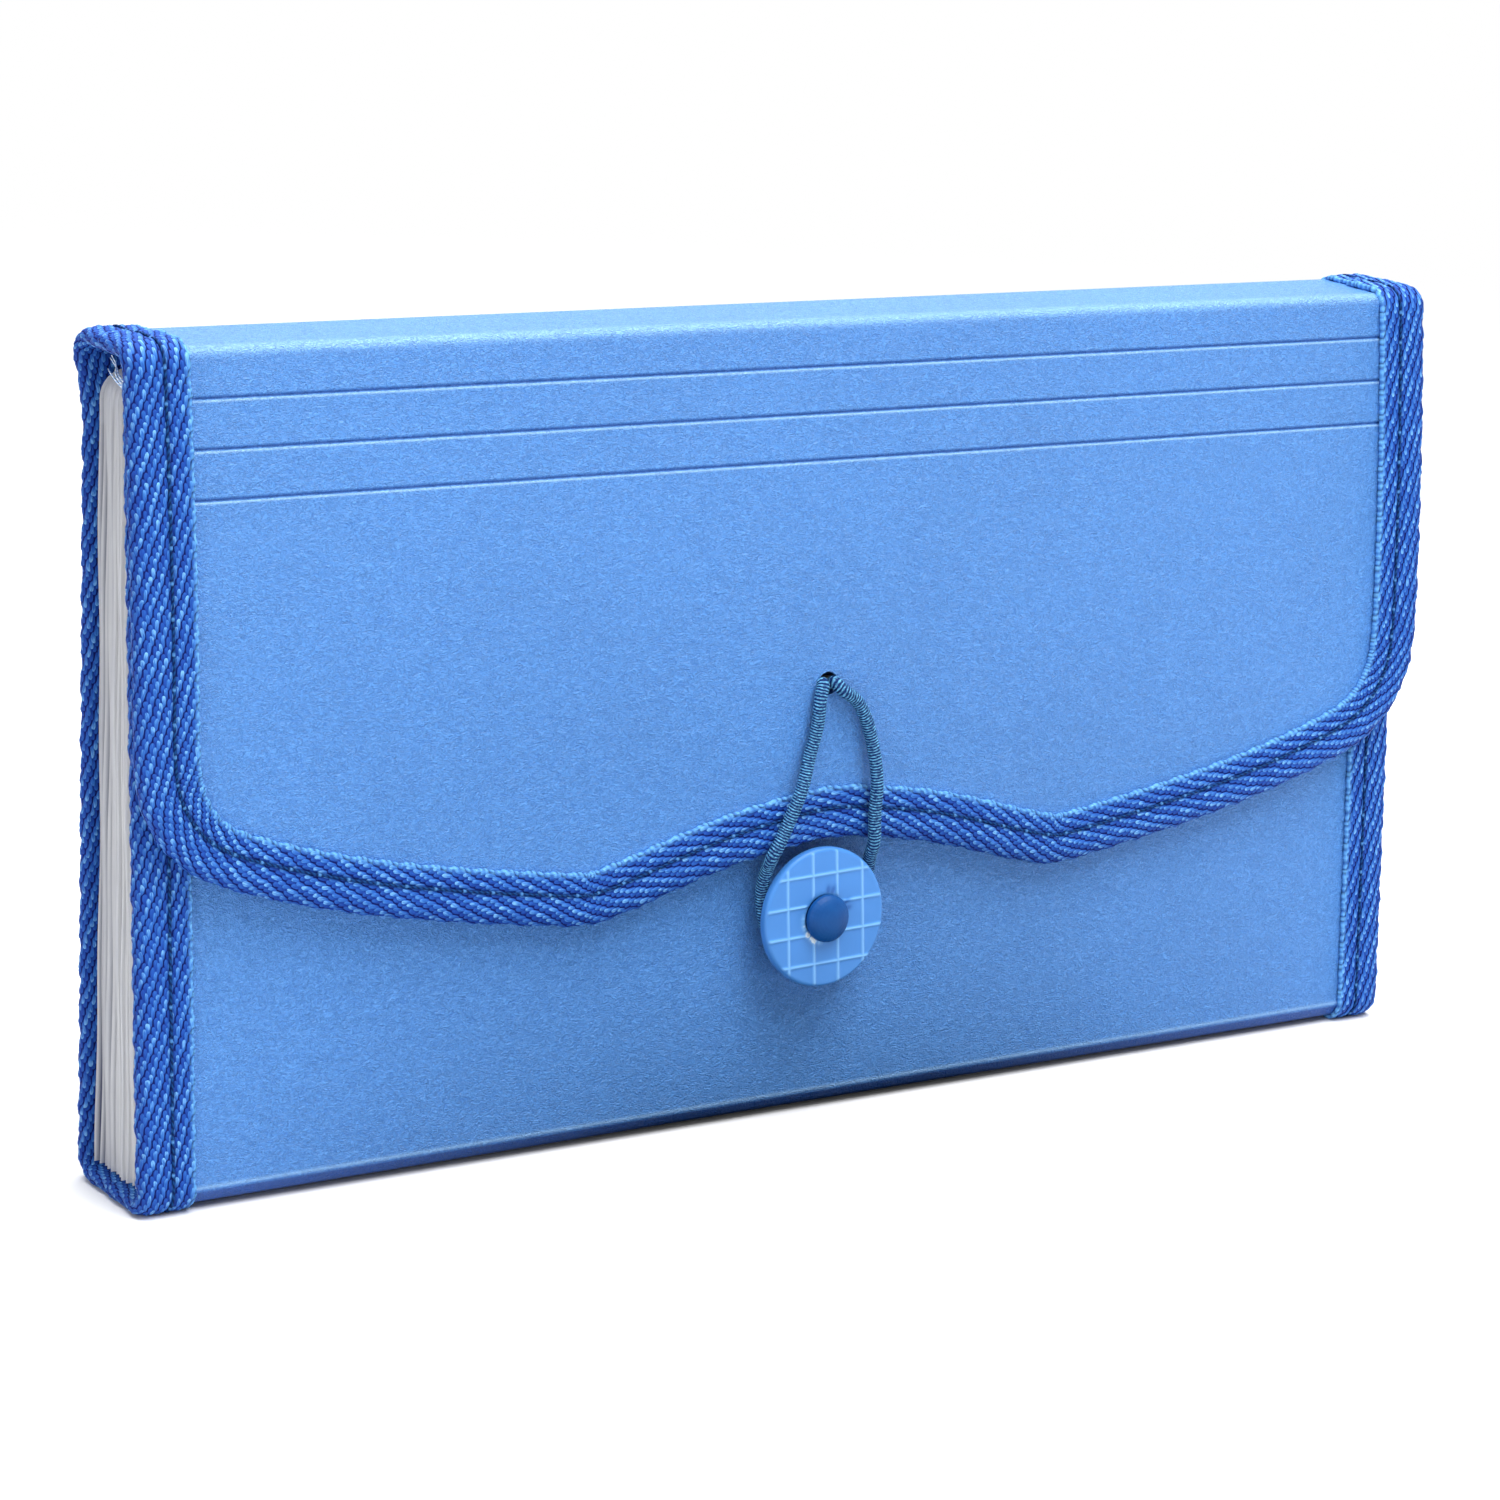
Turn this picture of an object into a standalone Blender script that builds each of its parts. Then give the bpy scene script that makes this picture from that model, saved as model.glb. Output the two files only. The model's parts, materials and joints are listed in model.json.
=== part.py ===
"""Expanding cheque book holder that stands on its base, closed by a flap, a disc button and an elastic loop.

Units are metres and +Z is up. The front faces -Y and the width runs along X. The back stands upright on the base,
the front leans back against it, and the roof joins the back to the flap. Every cover edge at the two ends, and the
wavy edge of the flap, is wrapped in a folded woven binding. Thirteen pockets lie between the back and the front,
closed at each end by a pleated gusset. The front and the dividers swing open like a fan about the front base crease.
"""

import math

import bmesh
import bpy
from mathutils import Vector

# Cover sizes
COVER_HEIGHT = 0.1350
BODY_WIDTH = 0.2528
BASE_DEPTH = 0.0230
FOLD_SETBACK = 0.0047
ROOF_RISE = 0.0006
CREASE_HEIGHT = 0.0025
CREASE_INSET = 0.0013
FRONT_TOP_DROP = 0.0051
SHEET = 0.0008
CREASE_GAP = 0.0003

# Flap sizes
FLAP_OVERHANG = 0.0015
FLAP_HEM_RISE = 0.0377
FLAP_CLEARANCE = 0.0005
SCORE_PITCH = 0.0077
SCORE_WIDTH = 0.0010
SCORE_DEPTH = 0.0002
SCORE_COUNT = 3

# Binding sizes
BINDING_WALL = 0.00065
BINDING_GAP = 0.00025
BODY_BINDING_WIDTH = 0.0095
FLAP_SIDE_BINDING_WIDTH = 0.0104
FLAP_HEM_BINDING_WIDTH = 0.0089
FOLD_GAP = 0.0020
BASE_END_GAP = 0.0008

# Pocket sizes
POCKET_COUNT = 13
DIVIDER_SHEET = 0.00035
DIVIDER_GAP = 0.0003
DIVIDER_FLOOR_GAP = 0.0004
DIVIDER_TOP_DROP = 0.0012
GUSSET_FLOOR = 0.0024
GUSSET_DEPTH = 0.0090
GUSSET_INSET = 0.0020
PLEAT_WALL = 0.00018
PLEAT_TIP = 0.0005
GUSSET_CORNER = 0.0040

# Button sizes
HEM_CLEARANCE = 0.0008
BUTTON_OFFSET = -0.0028
DISC_DIAMETER = 0.0240
DISC_THICKNESS = 0.0020
DISC_STANDOFF = 0.0042
DISC_EDGE_ROUND = 0.0006
BOSS_DIAMETER = 0.0090
GRID_LINES = 4
GRID_PITCH = 0.0050
GRID_WIDTH = 0.0007
GRID_HEIGHT = 0.0003
GRID_MARGIN = 0.0012
SHANK_DIAMETER = 0.0036
BORE_CLEARANCE = 0.0003
HEAD_DIAMETER = 0.0082
HEAD_HEIGHT = 0.0017
HEAD_EDGE = 0.0004
WASHER_DIAMETER = 0.0090
WASHER_THICKNESS = 0.0005
SEAT_GAP = 0.0002
TAIL_DIAMETER = 0.0060
TAIL_HEIGHT = 0.0005

# Elastic loop sizes
CORD_DIAMETER = 0.0023
CORD_CLEARANCE = 0.0003
CORD_HOLE_RISE = 0.0366
CORD_HOLE_DIAMETER = 0.0056
BAR_DIAMETER = 0.0015
BAR_LENGTH = 0.0105

# Facet counts
ROUND_STEPS = 48
SMALL_ROUND_STEPS = 28
EDGE_ROUND_STEPS = 8
HALF_FLAP_STEPS = 30
GUSSET_ROUND_STEPS = 4
CORD_STEPS = 72

# Angles above which an edge between facets shows as a crease
SOFT_ANGLE = math.radians(50)
CRISP_ANGLE = math.radians(35)

# Half of the flap's bound edge, from its middle to its side: shares of half the flap's width and of its length
FLAP_EDGE_SHARES = (
    (0.000, 0.899),
    (0.097, 0.914),
    (0.162, 0.935),
    (0.225, 0.958),
    (0.281, 0.979),
    (0.352, 0.995),
    (0.414, 1.000),
    (0.493, 0.992),
    (0.586, 0.972),
    (0.719, 0.928),
    (0.837, 0.883),
    (0.923, 0.831),
    (0.960, 0.793),
    (0.982, 0.750),
    (0.995, 0.695),
    (1.000, 0.620),
)

# How deep a pleat's tip is drawn in, as a share of the pleat's depth
PLEAT_TIP_SHARE = 0.33

# The elastic loop's width beside the button, as a share of the disc's, and how far above the button's centre, as a
# share of the disc's diameter, its strands slip behind the disc
LOOP_WIDTH_SHARE = 0.9
LOOP_TUCK_SHARE = 0.2

# The strands' way down from the cord hole: shares of the loop's half width and of the way to the flap's hem, first
# where they lie on the flap and then where they cross its binding
STRAND_START_SHARES = (1.50, 0.06)
RIGHT_FLAP_SHARES = ((0.43, 0.15), (0.66, 0.31), (0.80, 0.44))
RIGHT_BINDING_SHARES = ((0.91, 0.60), (0.97, 0.80))
LEFT_START_SHARES = (1.80, 0.08)
LEFT_FLAP_SHARES = ((0.25, 0.24), (0.37, 0.42))
LEFT_BINDING_SHARES = ((0.53, 0.60), (0.79, 0.84))

# The strands' way round the button's boss: shares of the loop's half width and of its reach below the centre
BOSS_SHARES = ((0.84, 0.30), (0.50, 0.82), (0.00, 1.00))

# The bar's ends: shares of its half length and of its radius
BAR_SHARES = ((-1.00, 0.6), (-0.94, 1.0), (0.94, 1.0), (1.00, 0.6))

# Sizes worked out from the ones above
FLAP_WIDTH = BODY_WIDTH + 2 * FLAP_OVERHANG
FLAP_LENGTH = COVER_HEIGHT - FLAP_HEM_RISE
CORD_HOLE_DROP = FLAP_LENGTH - CORD_HOLE_RISE
BINDING_REACH = BINDING_GAP + BINDING_WALL
FLAP_STANDOFF = BINDING_REACH + FLAP_CLEARANCE + BINDING_REACH + SHEET
LEAN = math.atan((FOLD_SETBACK + FLAP_STANDOFF) / COVER_HEIGHT)
FRONT_HEIGHT = (COVER_HEIGHT - CREASE_HEIGHT) / math.cos(LEAN) - FRONT_TOP_DROP
ROOF_DEPTH = BASE_DEPTH - FOLD_SETBACK
ROOF_SLOPE = math.atan(ROOF_RISE / ROOF_DEPTH)
ROOF_LENGTH = math.hypot(ROOF_DEPTH, ROOF_RISE)
CORD_RADIUS = CORD_DIAMETER / 2
BORE_RADIUS = SHANK_DIAMETER / 2 + BORE_CLEARANCE
DISC_FACE = DISC_STANDOFF + DISC_THICKNESS
HEAD_SEAT = DISC_FACE + GRID_HEIGHT + SEAT_GAP
BUTTON_REACH = HEAD_SEAT + HEAD_EDGE + HEAD_HEIGHT
HEM_HEIGHT = COVER_HEIGHT - FLAP_EDGE_SHARES[0][1] * FLAP_LENGTH * math.cos(LEAN)
DISC_TOP = DISC_DIAMETER / 2 * math.cos(LEAN) + DISC_FACE * math.sin(LEAN)
BUTTON_HEIGHT = HEM_HEIGHT - HEM_CLEARANCE - DISC_TOP
POCKET_START = SHEET + BINDING_REACH + DIVIDER_GAP
POCKET_END = BASE_DEPTH - POCKET_START

# Places in the world: the box is centred on X and Y, and the base bindings stand on Z = 0
STRIP_BOTTOM = BINDING_REACH
BUTTON_SETBACK = (BUTTON_HEIGHT - CREASE_HEIGHT) * math.tan(LEAN)
BUTTON_FRONT = BUTTON_REACH * math.cos(LEAN) - BUTTON_SETBACK
CREASE_Y = (BUTTON_FRONT - BASE_DEPTH - BINDING_REACH) / 2
BASE_CREASE = Vector((0, CREASE_Y, STRIP_BOTTOM + CREASE_HEIGHT))
BACK_FOLD = Vector((0, CREASE_Y + BASE_DEPTH, STRIP_BOTTOM + COVER_HEIGHT + ROOF_RISE))
MAIN_FOLD = Vector((0, CREASE_Y + FOLD_SETBACK, STRIP_BOTTOM + COVER_HEIGHT))


def material(name, colour, roughness, metallic=0.0, alpha=1.0):
    made = bpy.data.materials.new(name)
    made.use_nodes = True
    shader = made.node_tree.nodes["Principled BSDF"]
    shader.inputs["Base Color"].default_value = (*colour, 1.0)
    shader.inputs["Roughness"].default_value = roughness
    shader.inputs["Metallic"].default_value = metallic
    shader.inputs["Alpha"].default_value = alpha
    made.diffuse_color = (*colour, alpha)
    return made


def add_object(name, mesh, look, place, tilt=0.0, smooth=None):
    """Links a mesh as a named object whose origin is at place, turned about X by tilt."""
    mesh.materials.append(look)
    if smooth is not None:
        mesh.shade_smooth()
        mesh.set_sharp_from_angle(angle=smooth)
    made = bpy.data.objects.new(name, mesh)
    made.location = place
    made.rotation_euler = (tilt, 0, 0)
    bpy.context.scene.collection.objects.link(made)
    return made


def mesh_of(name, points, faces):
    """A mesh from points and faces, with its faces turned outwards."""
    mesh = bpy.data.meshes.new(name)
    mesh.from_pydata([tuple(point) for point in points], [], faces)
    work = bmesh.new()
    work.from_mesh(mesh)
    bmesh.ops.recalc_face_normals(work, faces=work.faces)
    work.to_mesh(mesh)
    work.free()
    return mesh


def loft(name, rings, closed=False):
    """Skins a row of point rings of equal count. An open row gets an end face on each side."""
    count = len(rings[0])
    points = [point for ring in rings for point in ring]
    faces = []
    spans = len(rings) if closed else len(rings) - 1
    for ring in range(spans):
        low = ring * count
        high = (ring + 1) % len(rings) * count
        for side in range(count):
            following = (side + 1) % count
            faces.append((low + side, low + following, high + following, high + side))
    if not closed:
        faces.append(tuple(range(count)))
        faces.append(tuple(range(len(points) - count, len(points))))
    return mesh_of(name, points, faces)


def plate_between(name, outline, back, front):
    """A flat sheet: outline holds (x, z) points, and the sheet fills y from front to back."""
    rings = [[Vector((x, y, z)) for x, z in outline] for y in (front, back)]
    return loft(name, rings)


def rectangle(half_width, low, high):
    return [(-half_width, low), (half_width, low), (half_width, high), (-half_width, high)]


def ring_points(radius, steps, height):
    """A circle about the Y axis, at y = height."""
    angles = [2 * math.pi * step / steps for step in range(steps)]
    return [Vector((radius * math.cos(a), height, radius * math.sin(a))) for a in angles]


def turned_ring(name, profile, steps):
    """A ring turned about Y from a closed profile of (radius, y) points."""
    return loft(name, [ring_points(radius, steps, y) for radius, y in profile], closed=True)


def turned_solid(name, profile, steps):
    """A solid turned about Y from an open profile of (radius, y) points."""
    return loft(name, [ring_points(radius, steps, y) for radius, y in profile])


def cut(target, cutter, operation="DIFFERENCE"):
    """Applies a cutter or an added shape to target, and keeps it out of the render."""
    cutter.hide_render = True
    cutter.display_type = "WIRE"
    modifier = target.modifiers.new(cutter.name, "BOOLEAN")
    modifier.operation = operation
    modifier.object = cutter


def smooth_curve(knots, steps):
    """Evenly spaced points on a centripetal curve through the knots."""
    ends = [2 * knots[0] - knots[1], *knots, 2 * knots[-1] - knots[-2]]
    dense = []
    for index in range(1, len(ends) - 2):
        before, start, end, after = ends[index - 1 : index + 3]
        t0 = 0.0
        t1 = t0 + math.sqrt((start - before).length)
        t2 = t1 + math.sqrt((end - start).length)
        t3 = t2 + math.sqrt((after - end).length)
        for step in range(EDGE_ROUND_STEPS):
            t = t1 + (t2 - t1) * step / EDGE_ROUND_STEPS
            a1 = before * ((t1 - t) / (t1 - t0)) + start * ((t - t0) / (t1 - t0))
            a2 = start * ((t2 - t) / (t2 - t1)) + end * ((t - t1) / (t2 - t1))
            a3 = end * ((t3 - t) / (t3 - t2)) + after * ((t - t2) / (t3 - t2))
            b1 = a1 * ((t2 - t) / (t2 - t0)) + a2 * ((t - t0) / (t2 - t0))
            b2 = a2 * ((t3 - t) / (t3 - t1)) + a3 * ((t - t1) / (t3 - t1))
            dense.append(b1 * ((t2 - t) / (t2 - t1)) + b2 * ((t - t1) / (t2 - t1)))
    dense.append(knots[-1])
    lengths = [0.0]
    for first, second in zip(dense, dense[1:]):
        lengths.append(lengths[-1] + (second - first).length)
    found = []
    at = 0
    for step in range(steps + 1):
        wanted = lengths[-1] * step / steps
        while at < len(dense) - 2 and lengths[at + 1] < wanted:
            at += 1
        share = (wanted - lengths[at]) / (lengths[at + 1] - lengths[at])
        found.append(dense[at].lerp(dense[at + 1], share))
    return found


def binding_section(width):
    """The folded binding around a sheet edge: (inward, outward) points, from the edge and the sheet's middle."""
    hollow = SHEET / 2 + BINDING_GAP
    outside = hollow + BINDING_WALL
    section = [(width, -outside)]
    for step in range(EDGE_ROUND_STEPS + 1):
        angle = -math.pi / 2 - math.pi * step / EDGE_ROUND_STEPS
        section.append((BINDING_REACH * math.cos(angle), outside * math.sin(angle)))
    section.append((width, outside))
    section.append((width, hollow))
    section.append((-BINDING_GAP, hollow))
    section.append((-BINDING_GAP, -hollow))
    section.append((width, -hollow))
    return section


def binding(name, stations, look, place, tilt=0.0):
    """Sweeps the folded binding along stations of (edge point, inward, outward, width)."""
    rings = []
    for edge, inward, outward, width in stations:
        visible = width - BINDING_REACH
        rings.append([edge + inward * a + outward * b for a, b in binding_section(visible)])
    return add_object(name, loft(name, rings), look, place, tilt, smooth=SOFT_ANGLE)


def straight_stations(side, half_width, points, outward, width):
    """Stations on a straight end edge, on the side of +X or -X, through points of the sheet's middle."""
    edge = Vector((side * (half_width - BINDING_REACH), 0, 0))
    inward = Vector((-side, 0, 0))
    return [(edge + point, inward, outward, width) for point in points]


def clear_scene():
    for old in list(bpy.data.objects):
        bpy.data.objects.remove(old)


def flap_edge():
    """The sheet edge of the flap from its left fold end round its wavy hem to its right fold end, with inward ways."""
    half = FLAP_WIDTH / 2
    knots = [Vector((x * half, 0, -z * FLAP_LENGTH)) for x, z in FLAP_EDGE_SHARES]
    knots = [Vector((-knot.x, 0, knot.z)) for knot in reversed(knots[1:])] + knots
    hem = smooth_curve(knots, 2 * HALF_FLAP_STEPS)
    bound = [Vector((-half, 0, -FOLD_GAP)), *hem, Vector((half, 0, -FOLD_GAP))]
    edge = []
    for index, point in enumerate(bound):
        before = bound[max(index - 1, 0)]
        after = bound[min(index + 1, len(bound) - 1)]
        along = (after - before).normalized()
        inward = Vector((-along.z, 0, along.x))
        edge.append((point + inward * BINDING_REACH, inward))
    return edge


def make_covers(look):
    """The five stiff cover sheets, cut apart along their creases."""
    half_body = BODY_WIDTH / 2 - BINDING_REACH
    half_flap = FLAP_WIDTH / 2 - BINDING_REACH

    low = CREASE_HEIGHT + CREASE_GAP
    high = COVER_HEIGHT + ROOF_RISE - CREASE_GAP
    profile = [(0, low), (0, high), (-SHEET, high - SHEET), (-SHEET, low)]
    rings = [[Vector((x, y, z)) for y, z in profile] for x in (-half_body, half_body)]
    place = Vector((0, CREASE_Y + BASE_DEPTH, STRIP_BOTTOM))
    add_object("back_panel", loft("back_panel", rings), look, place)

    outer = [
        (0, CREASE_HEIGHT),
        (CREASE_INSET, 0),
        (BASE_DEPTH - CREASE_INSET, 0),
        (BASE_DEPTH, CREASE_HEIGHT),
    ]
    slant = math.atan2(CREASE_INSET, CREASE_HEIGHT)
    across = SHEET / math.cos(slant)
    corner = SHEET * math.tan((math.pi / 2 - slant) / 2)
    inner = [
        (BASE_DEPTH - across, CREASE_HEIGHT),
        (BASE_DEPTH - CREASE_INSET - corner, SHEET),
        (CREASE_INSET + corner, SHEET),
        (across, CREASE_HEIGHT),
    ]
    rings = [[Vector((x, y, z)) for y, z in outer + inner] for x in (-half_body, half_body)]
    place = Vector((0, CREASE_Y, STRIP_BOTTOM))
    add_object("base_strip", loft("base_strip", rings), look, place)

    front = plate_between("front_panel", rectangle(half_body, CREASE_GAP, FRONT_HEIGHT), SHEET, 0)
    front = add_object("front_panel", front, look, BASE_CREASE, -LEAN)
    bore = turned_solid(
        "front_bore_cutter", [(BORE_RADIUS, -SHEET), (BORE_RADIUS, 2 * SHEET)], SMALL_ROUND_STEPS
    )
    cut(front, add_object("front_bore_cutter", bore, look, button_place(), -LEAN))

    low = CREASE_GAP
    high = ROOF_LENGTH - CREASE_GAP
    profile = [(-low, 0), (-high, 0), (SHEET - high, -SHEET), (-low - SHEET, -SHEET)]
    rings = [[Vector((x, y, z)) for y, z in profile] for x in (-half_flap, half_flap)]
    add_object("roof_strip", loft("roof_strip", rings), look, BACK_FOLD, ROOF_SLOPE)

    make_flap_panel(look)


def make_flap_panel(look):
    """The flap sheet: its score lines run across, and its wavy outline is cut from them."""
    half = FLAP_WIDTH / 2
    face = [(0, -CREASE_GAP)]
    for line in range(1, SCORE_COUNT + 1):
        middle = line * SCORE_PITCH
        face.append((0, -middle + SCORE_WIDTH / 2))
        face.append((SCORE_DEPTH, -middle))
        face.append((0, -middle - SCORE_WIDTH / 2))
    face.append((0, -FLAP_LENGTH))
    face.append((SHEET, -FLAP_LENGTH))
    face.append((SHEET, -CREASE_GAP - SHEET))
    rings = [[Vector((x, y, z)) for y, z in face] for x in (-half, half)]
    panel = add_object("flap_panel", loft("flap_panel", rings), look, MAIN_FOLD, -LEAN)

    outline = [(point.x, point.z) for point, _ in flap_edge()]
    side = outline[-1][0]
    outline = [(-side, SHEET), *outline, (side, SHEET)]
    blank = plate_between("flap_outline_cutter", outline, 2 * SHEET, -SHEET)
    cut(panel, add_object("flap_outline_cutter", blank, look, MAIN_FOLD, -LEAN), "INTERSECT")
    hole = turned_solid(
        "cord_hole_cutter",
        [(CORD_HOLE_DIAMETER / 2, -SHEET), (CORD_HOLE_DIAMETER / 2, 2 * SHEET)],
        SMALL_ROUND_STEPS,
    )
    cut(panel, add_object("cord_hole_cutter", hole, look, cord_hole_place(), -LEAN))


def make_bindings(look):
    """The woven binding, one piece for each stiff cover edge that it wraps."""
    half_body = BODY_WIDTH / 2
    half_flap = FLAP_WIDTH / 2
    out_front = Vector((0, -1, 0))
    out_back = Vector((0, 1, 0))
    out_top = Vector((0, 0, 1))
    middle = SHEET / 2

    for side, label in ((-1, "left"), (1, "right")):
        back_place = Vector((0, CREASE_Y + BASE_DEPTH, STRIP_BOTTOM))
        low = Vector((0, -middle, CREASE_HEIGHT + BASE_END_GAP))
        high = Vector((0, -middle, COVER_HEIGHT + ROOF_RISE - FOLD_GAP))
        run = straight_stations(side, half_body, (low, high), out_back, BODY_BINDING_WIDTH)
        binding(f"back_binding_{label}", run, look, back_place)

        low = Vector((0, middle, BASE_END_GAP))
        high = Vector((0, middle, FRONT_HEIGHT))
        run = straight_stations(side, half_body, (low, high), out_front, BODY_BINDING_WIDTH)
        binding(f"front_binding_{label}", run, look, BASE_CREASE, -LEAN)

        low = Vector((0, -FOLD_GAP, -middle))
        high = Vector((0, FOLD_GAP - ROOF_LENGTH, -middle))
        run = straight_stations(side, half_flap, (low, high), out_top, FLAP_SIDE_BINDING_WIDTH)
        binding(f"roof_binding_{label}", run, look, BACK_FOLD, ROOF_SLOPE)

        make_base_binding(f"base_binding_{label}", side, look)

    stations = []
    narrowing = FLAP_HEM_BINDING_WIDTH - FLAP_SIDE_BINDING_WIDTH
    for edge, inward in flap_edge():
        lower_half = min(1, max(0, -edge.z / FLAP_LENGTH * 2 - 1))
        width = FLAP_SIDE_BINDING_WIDTH + narrowing * lower_half
        stations.append((edge + Vector((0, middle, 0)), inward, out_front, width))
    binding("flap_binding", stations, look, MAIN_FOLD, -LEAN)


def make_base_binding(name, side, look):
    """The binding of one base end, which follows the strip's two slanted creases."""
    slant = math.atan2(CREASE_INSET, CREASE_HEIGHT)
    sloped = Vector((0, -math.cos(slant), -math.sin(slant)))
    down = Vector((0, 0, -1))
    bend = (sloped + down).normalized()
    bend = bend / bend.dot(down)
    flipped = Vector((0, -sloped.y, sloped.z))
    flipped_bend = Vector((0, -bend.y, bend.z))
    edge = Vector((side * (BODY_WIDTH / 2 - BINDING_REACH), 0, 0))
    end_inset = BASE_END_GAP * math.sin(slant)
    end_height = CREASE_HEIGHT - BASE_END_GAP * math.cos(slant)
    corners = [
        (Vector((0, end_inset, end_height)), sloped),
        (Vector((0, CREASE_INSET, 0)), bend),
        (Vector((0, BASE_DEPTH - CREASE_INSET, 0)), flipped_bend),
        (Vector((0, BASE_DEPTH - end_inset, end_height)), flipped),
    ]
    stations = []
    for corner, outward in corners:
        middle = corner - outward * (SHEET / 2)
        stations.append((edge + middle, Vector((-side, 0, 0)), outward, BODY_BINDING_WIDTH))
    binding(name, stations, look, Vector((0, CREASE_Y, STRIP_BOTTOM)))


def wall_place(share):
    """A pocket wall's offset from the base crease and its lean. Share 0 is at the back and 1 at the front."""
    offset = POCKET_END + (POCKET_START - POCKET_END) * share
    return offset, LEAN * share


def make_dividers(look):
    """The sheets between the pockets, spaced like a fan between the back and the front."""
    half = BODY_WIDTH / 2 - GUSSET_INSET - GUSSET_DEPTH - DIVIDER_GAP
    floor = SHEET + DIVIDER_FLOOR_GAP - CREASE_HEIGHT
    for number in range(1, POCKET_COUNT):
        offset, lean = wall_place(number / POCKET_COUNT)
        low = (floor + offset * math.sin(lean)) / math.cos(lean)
        high = (FRONT_HEIGHT - DIVIDER_TOP_DROP + offset * math.sin(lean)) / math.cos(lean)
        name = f"divider_{number}"
        outline = rectangle(half, low, high)
        sheet = plate_between(name, outline, offset + DIVIDER_SHEET / 2, offset - DIVIDER_SHEET / 2)
        add_object(name, sheet, look, BASE_CREASE, -lean)


def gusset_ring(side, height, drop):
    """One level of a pleated gusset: the outer and the inner line of its thin wall. Drop draws the ridges in."""
    ridge = BODY_WIDTH / 2 - GUSSET_INSET - drop
    valley = BODY_WIDTH / 2 - GUSSET_INSET - GUSSET_DEPTH
    tip = min(PLEAT_TIP, (ridge - valley) * PLEAT_TIP_SHARE)

    def depth_at(share):
        offset, lean = wall_place(share)
        return offset / math.cos(lean) + height * math.tan(lean)

    def point(x, y):
        return Vector((side * x, y, height))

    outer = [point(valley + tip, depth_at(0))]
    inner = [point(valley, depth_at(0) - PLEAT_WALL)]
    for pocket in range(POCKET_COUNT):
        middle = depth_at((pocket + 0.5) / POCKET_COUNT)
        wall = depth_at((pocket + 1) / POCKET_COUNT)
        outer.append(point(ridge, middle + PLEAT_WALL))
        outer.append(point(ridge, middle - PLEAT_WALL))
        inner.append(point(ridge - tip, middle))
        if pocket < POCKET_COUNT - 1:
            outer.append(point(valley + tip, wall))
            inner.append(point(valley, wall + PLEAT_WALL))
            inner.append(point(valley, wall - PLEAT_WALL))
        else:
            outer.append(point(valley + tip, wall))
            inner.append(point(valley, wall + PLEAT_WALL))
    return outer + inner[::-1]


def make_gussets(look):
    """The pleated ends of the pockets. Each pleat's ridge points out and its upper corner is rounded."""
    top = FRONT_HEIGHT * math.cos(LEAN)
    levels = [(GUSSET_FLOOR - CREASE_HEIGHT, 0)]
    for step in range(GUSSET_ROUND_STEPS + 1):
        angle = math.pi / 2 * step / GUSSET_ROUND_STEPS
        rise = GUSSET_CORNER * math.sin(angle)
        levels.append((top - GUSSET_CORNER + rise, GUSSET_CORNER * (1 - math.cos(angle))))
    for side, label in ((-1, "left"), (1, "right")):
        rings = [gusset_ring(side, height, drop) for height, drop in levels]
        add_object(f"gusset_{label}", loft(f"gusset_{label}", rings), look, BASE_CREASE)


def button_place():
    """The button's centre on the outer face of the front, a little to the left of the middle."""
    up = (BUTTON_HEIGHT - CREASE_HEIGHT) / math.cos(LEAN)
    return BASE_CREASE + Vector((BUTTON_OFFSET, up * math.sin(LEAN), up * math.cos(LEAN)))


def cord_hole_place():
    """The cord hole's centre on the outer face of the flap."""
    return MAIN_FOLD - Vector((0, math.sin(LEAN), math.cos(LEAN))) * CORD_HOLE_DROP


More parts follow.
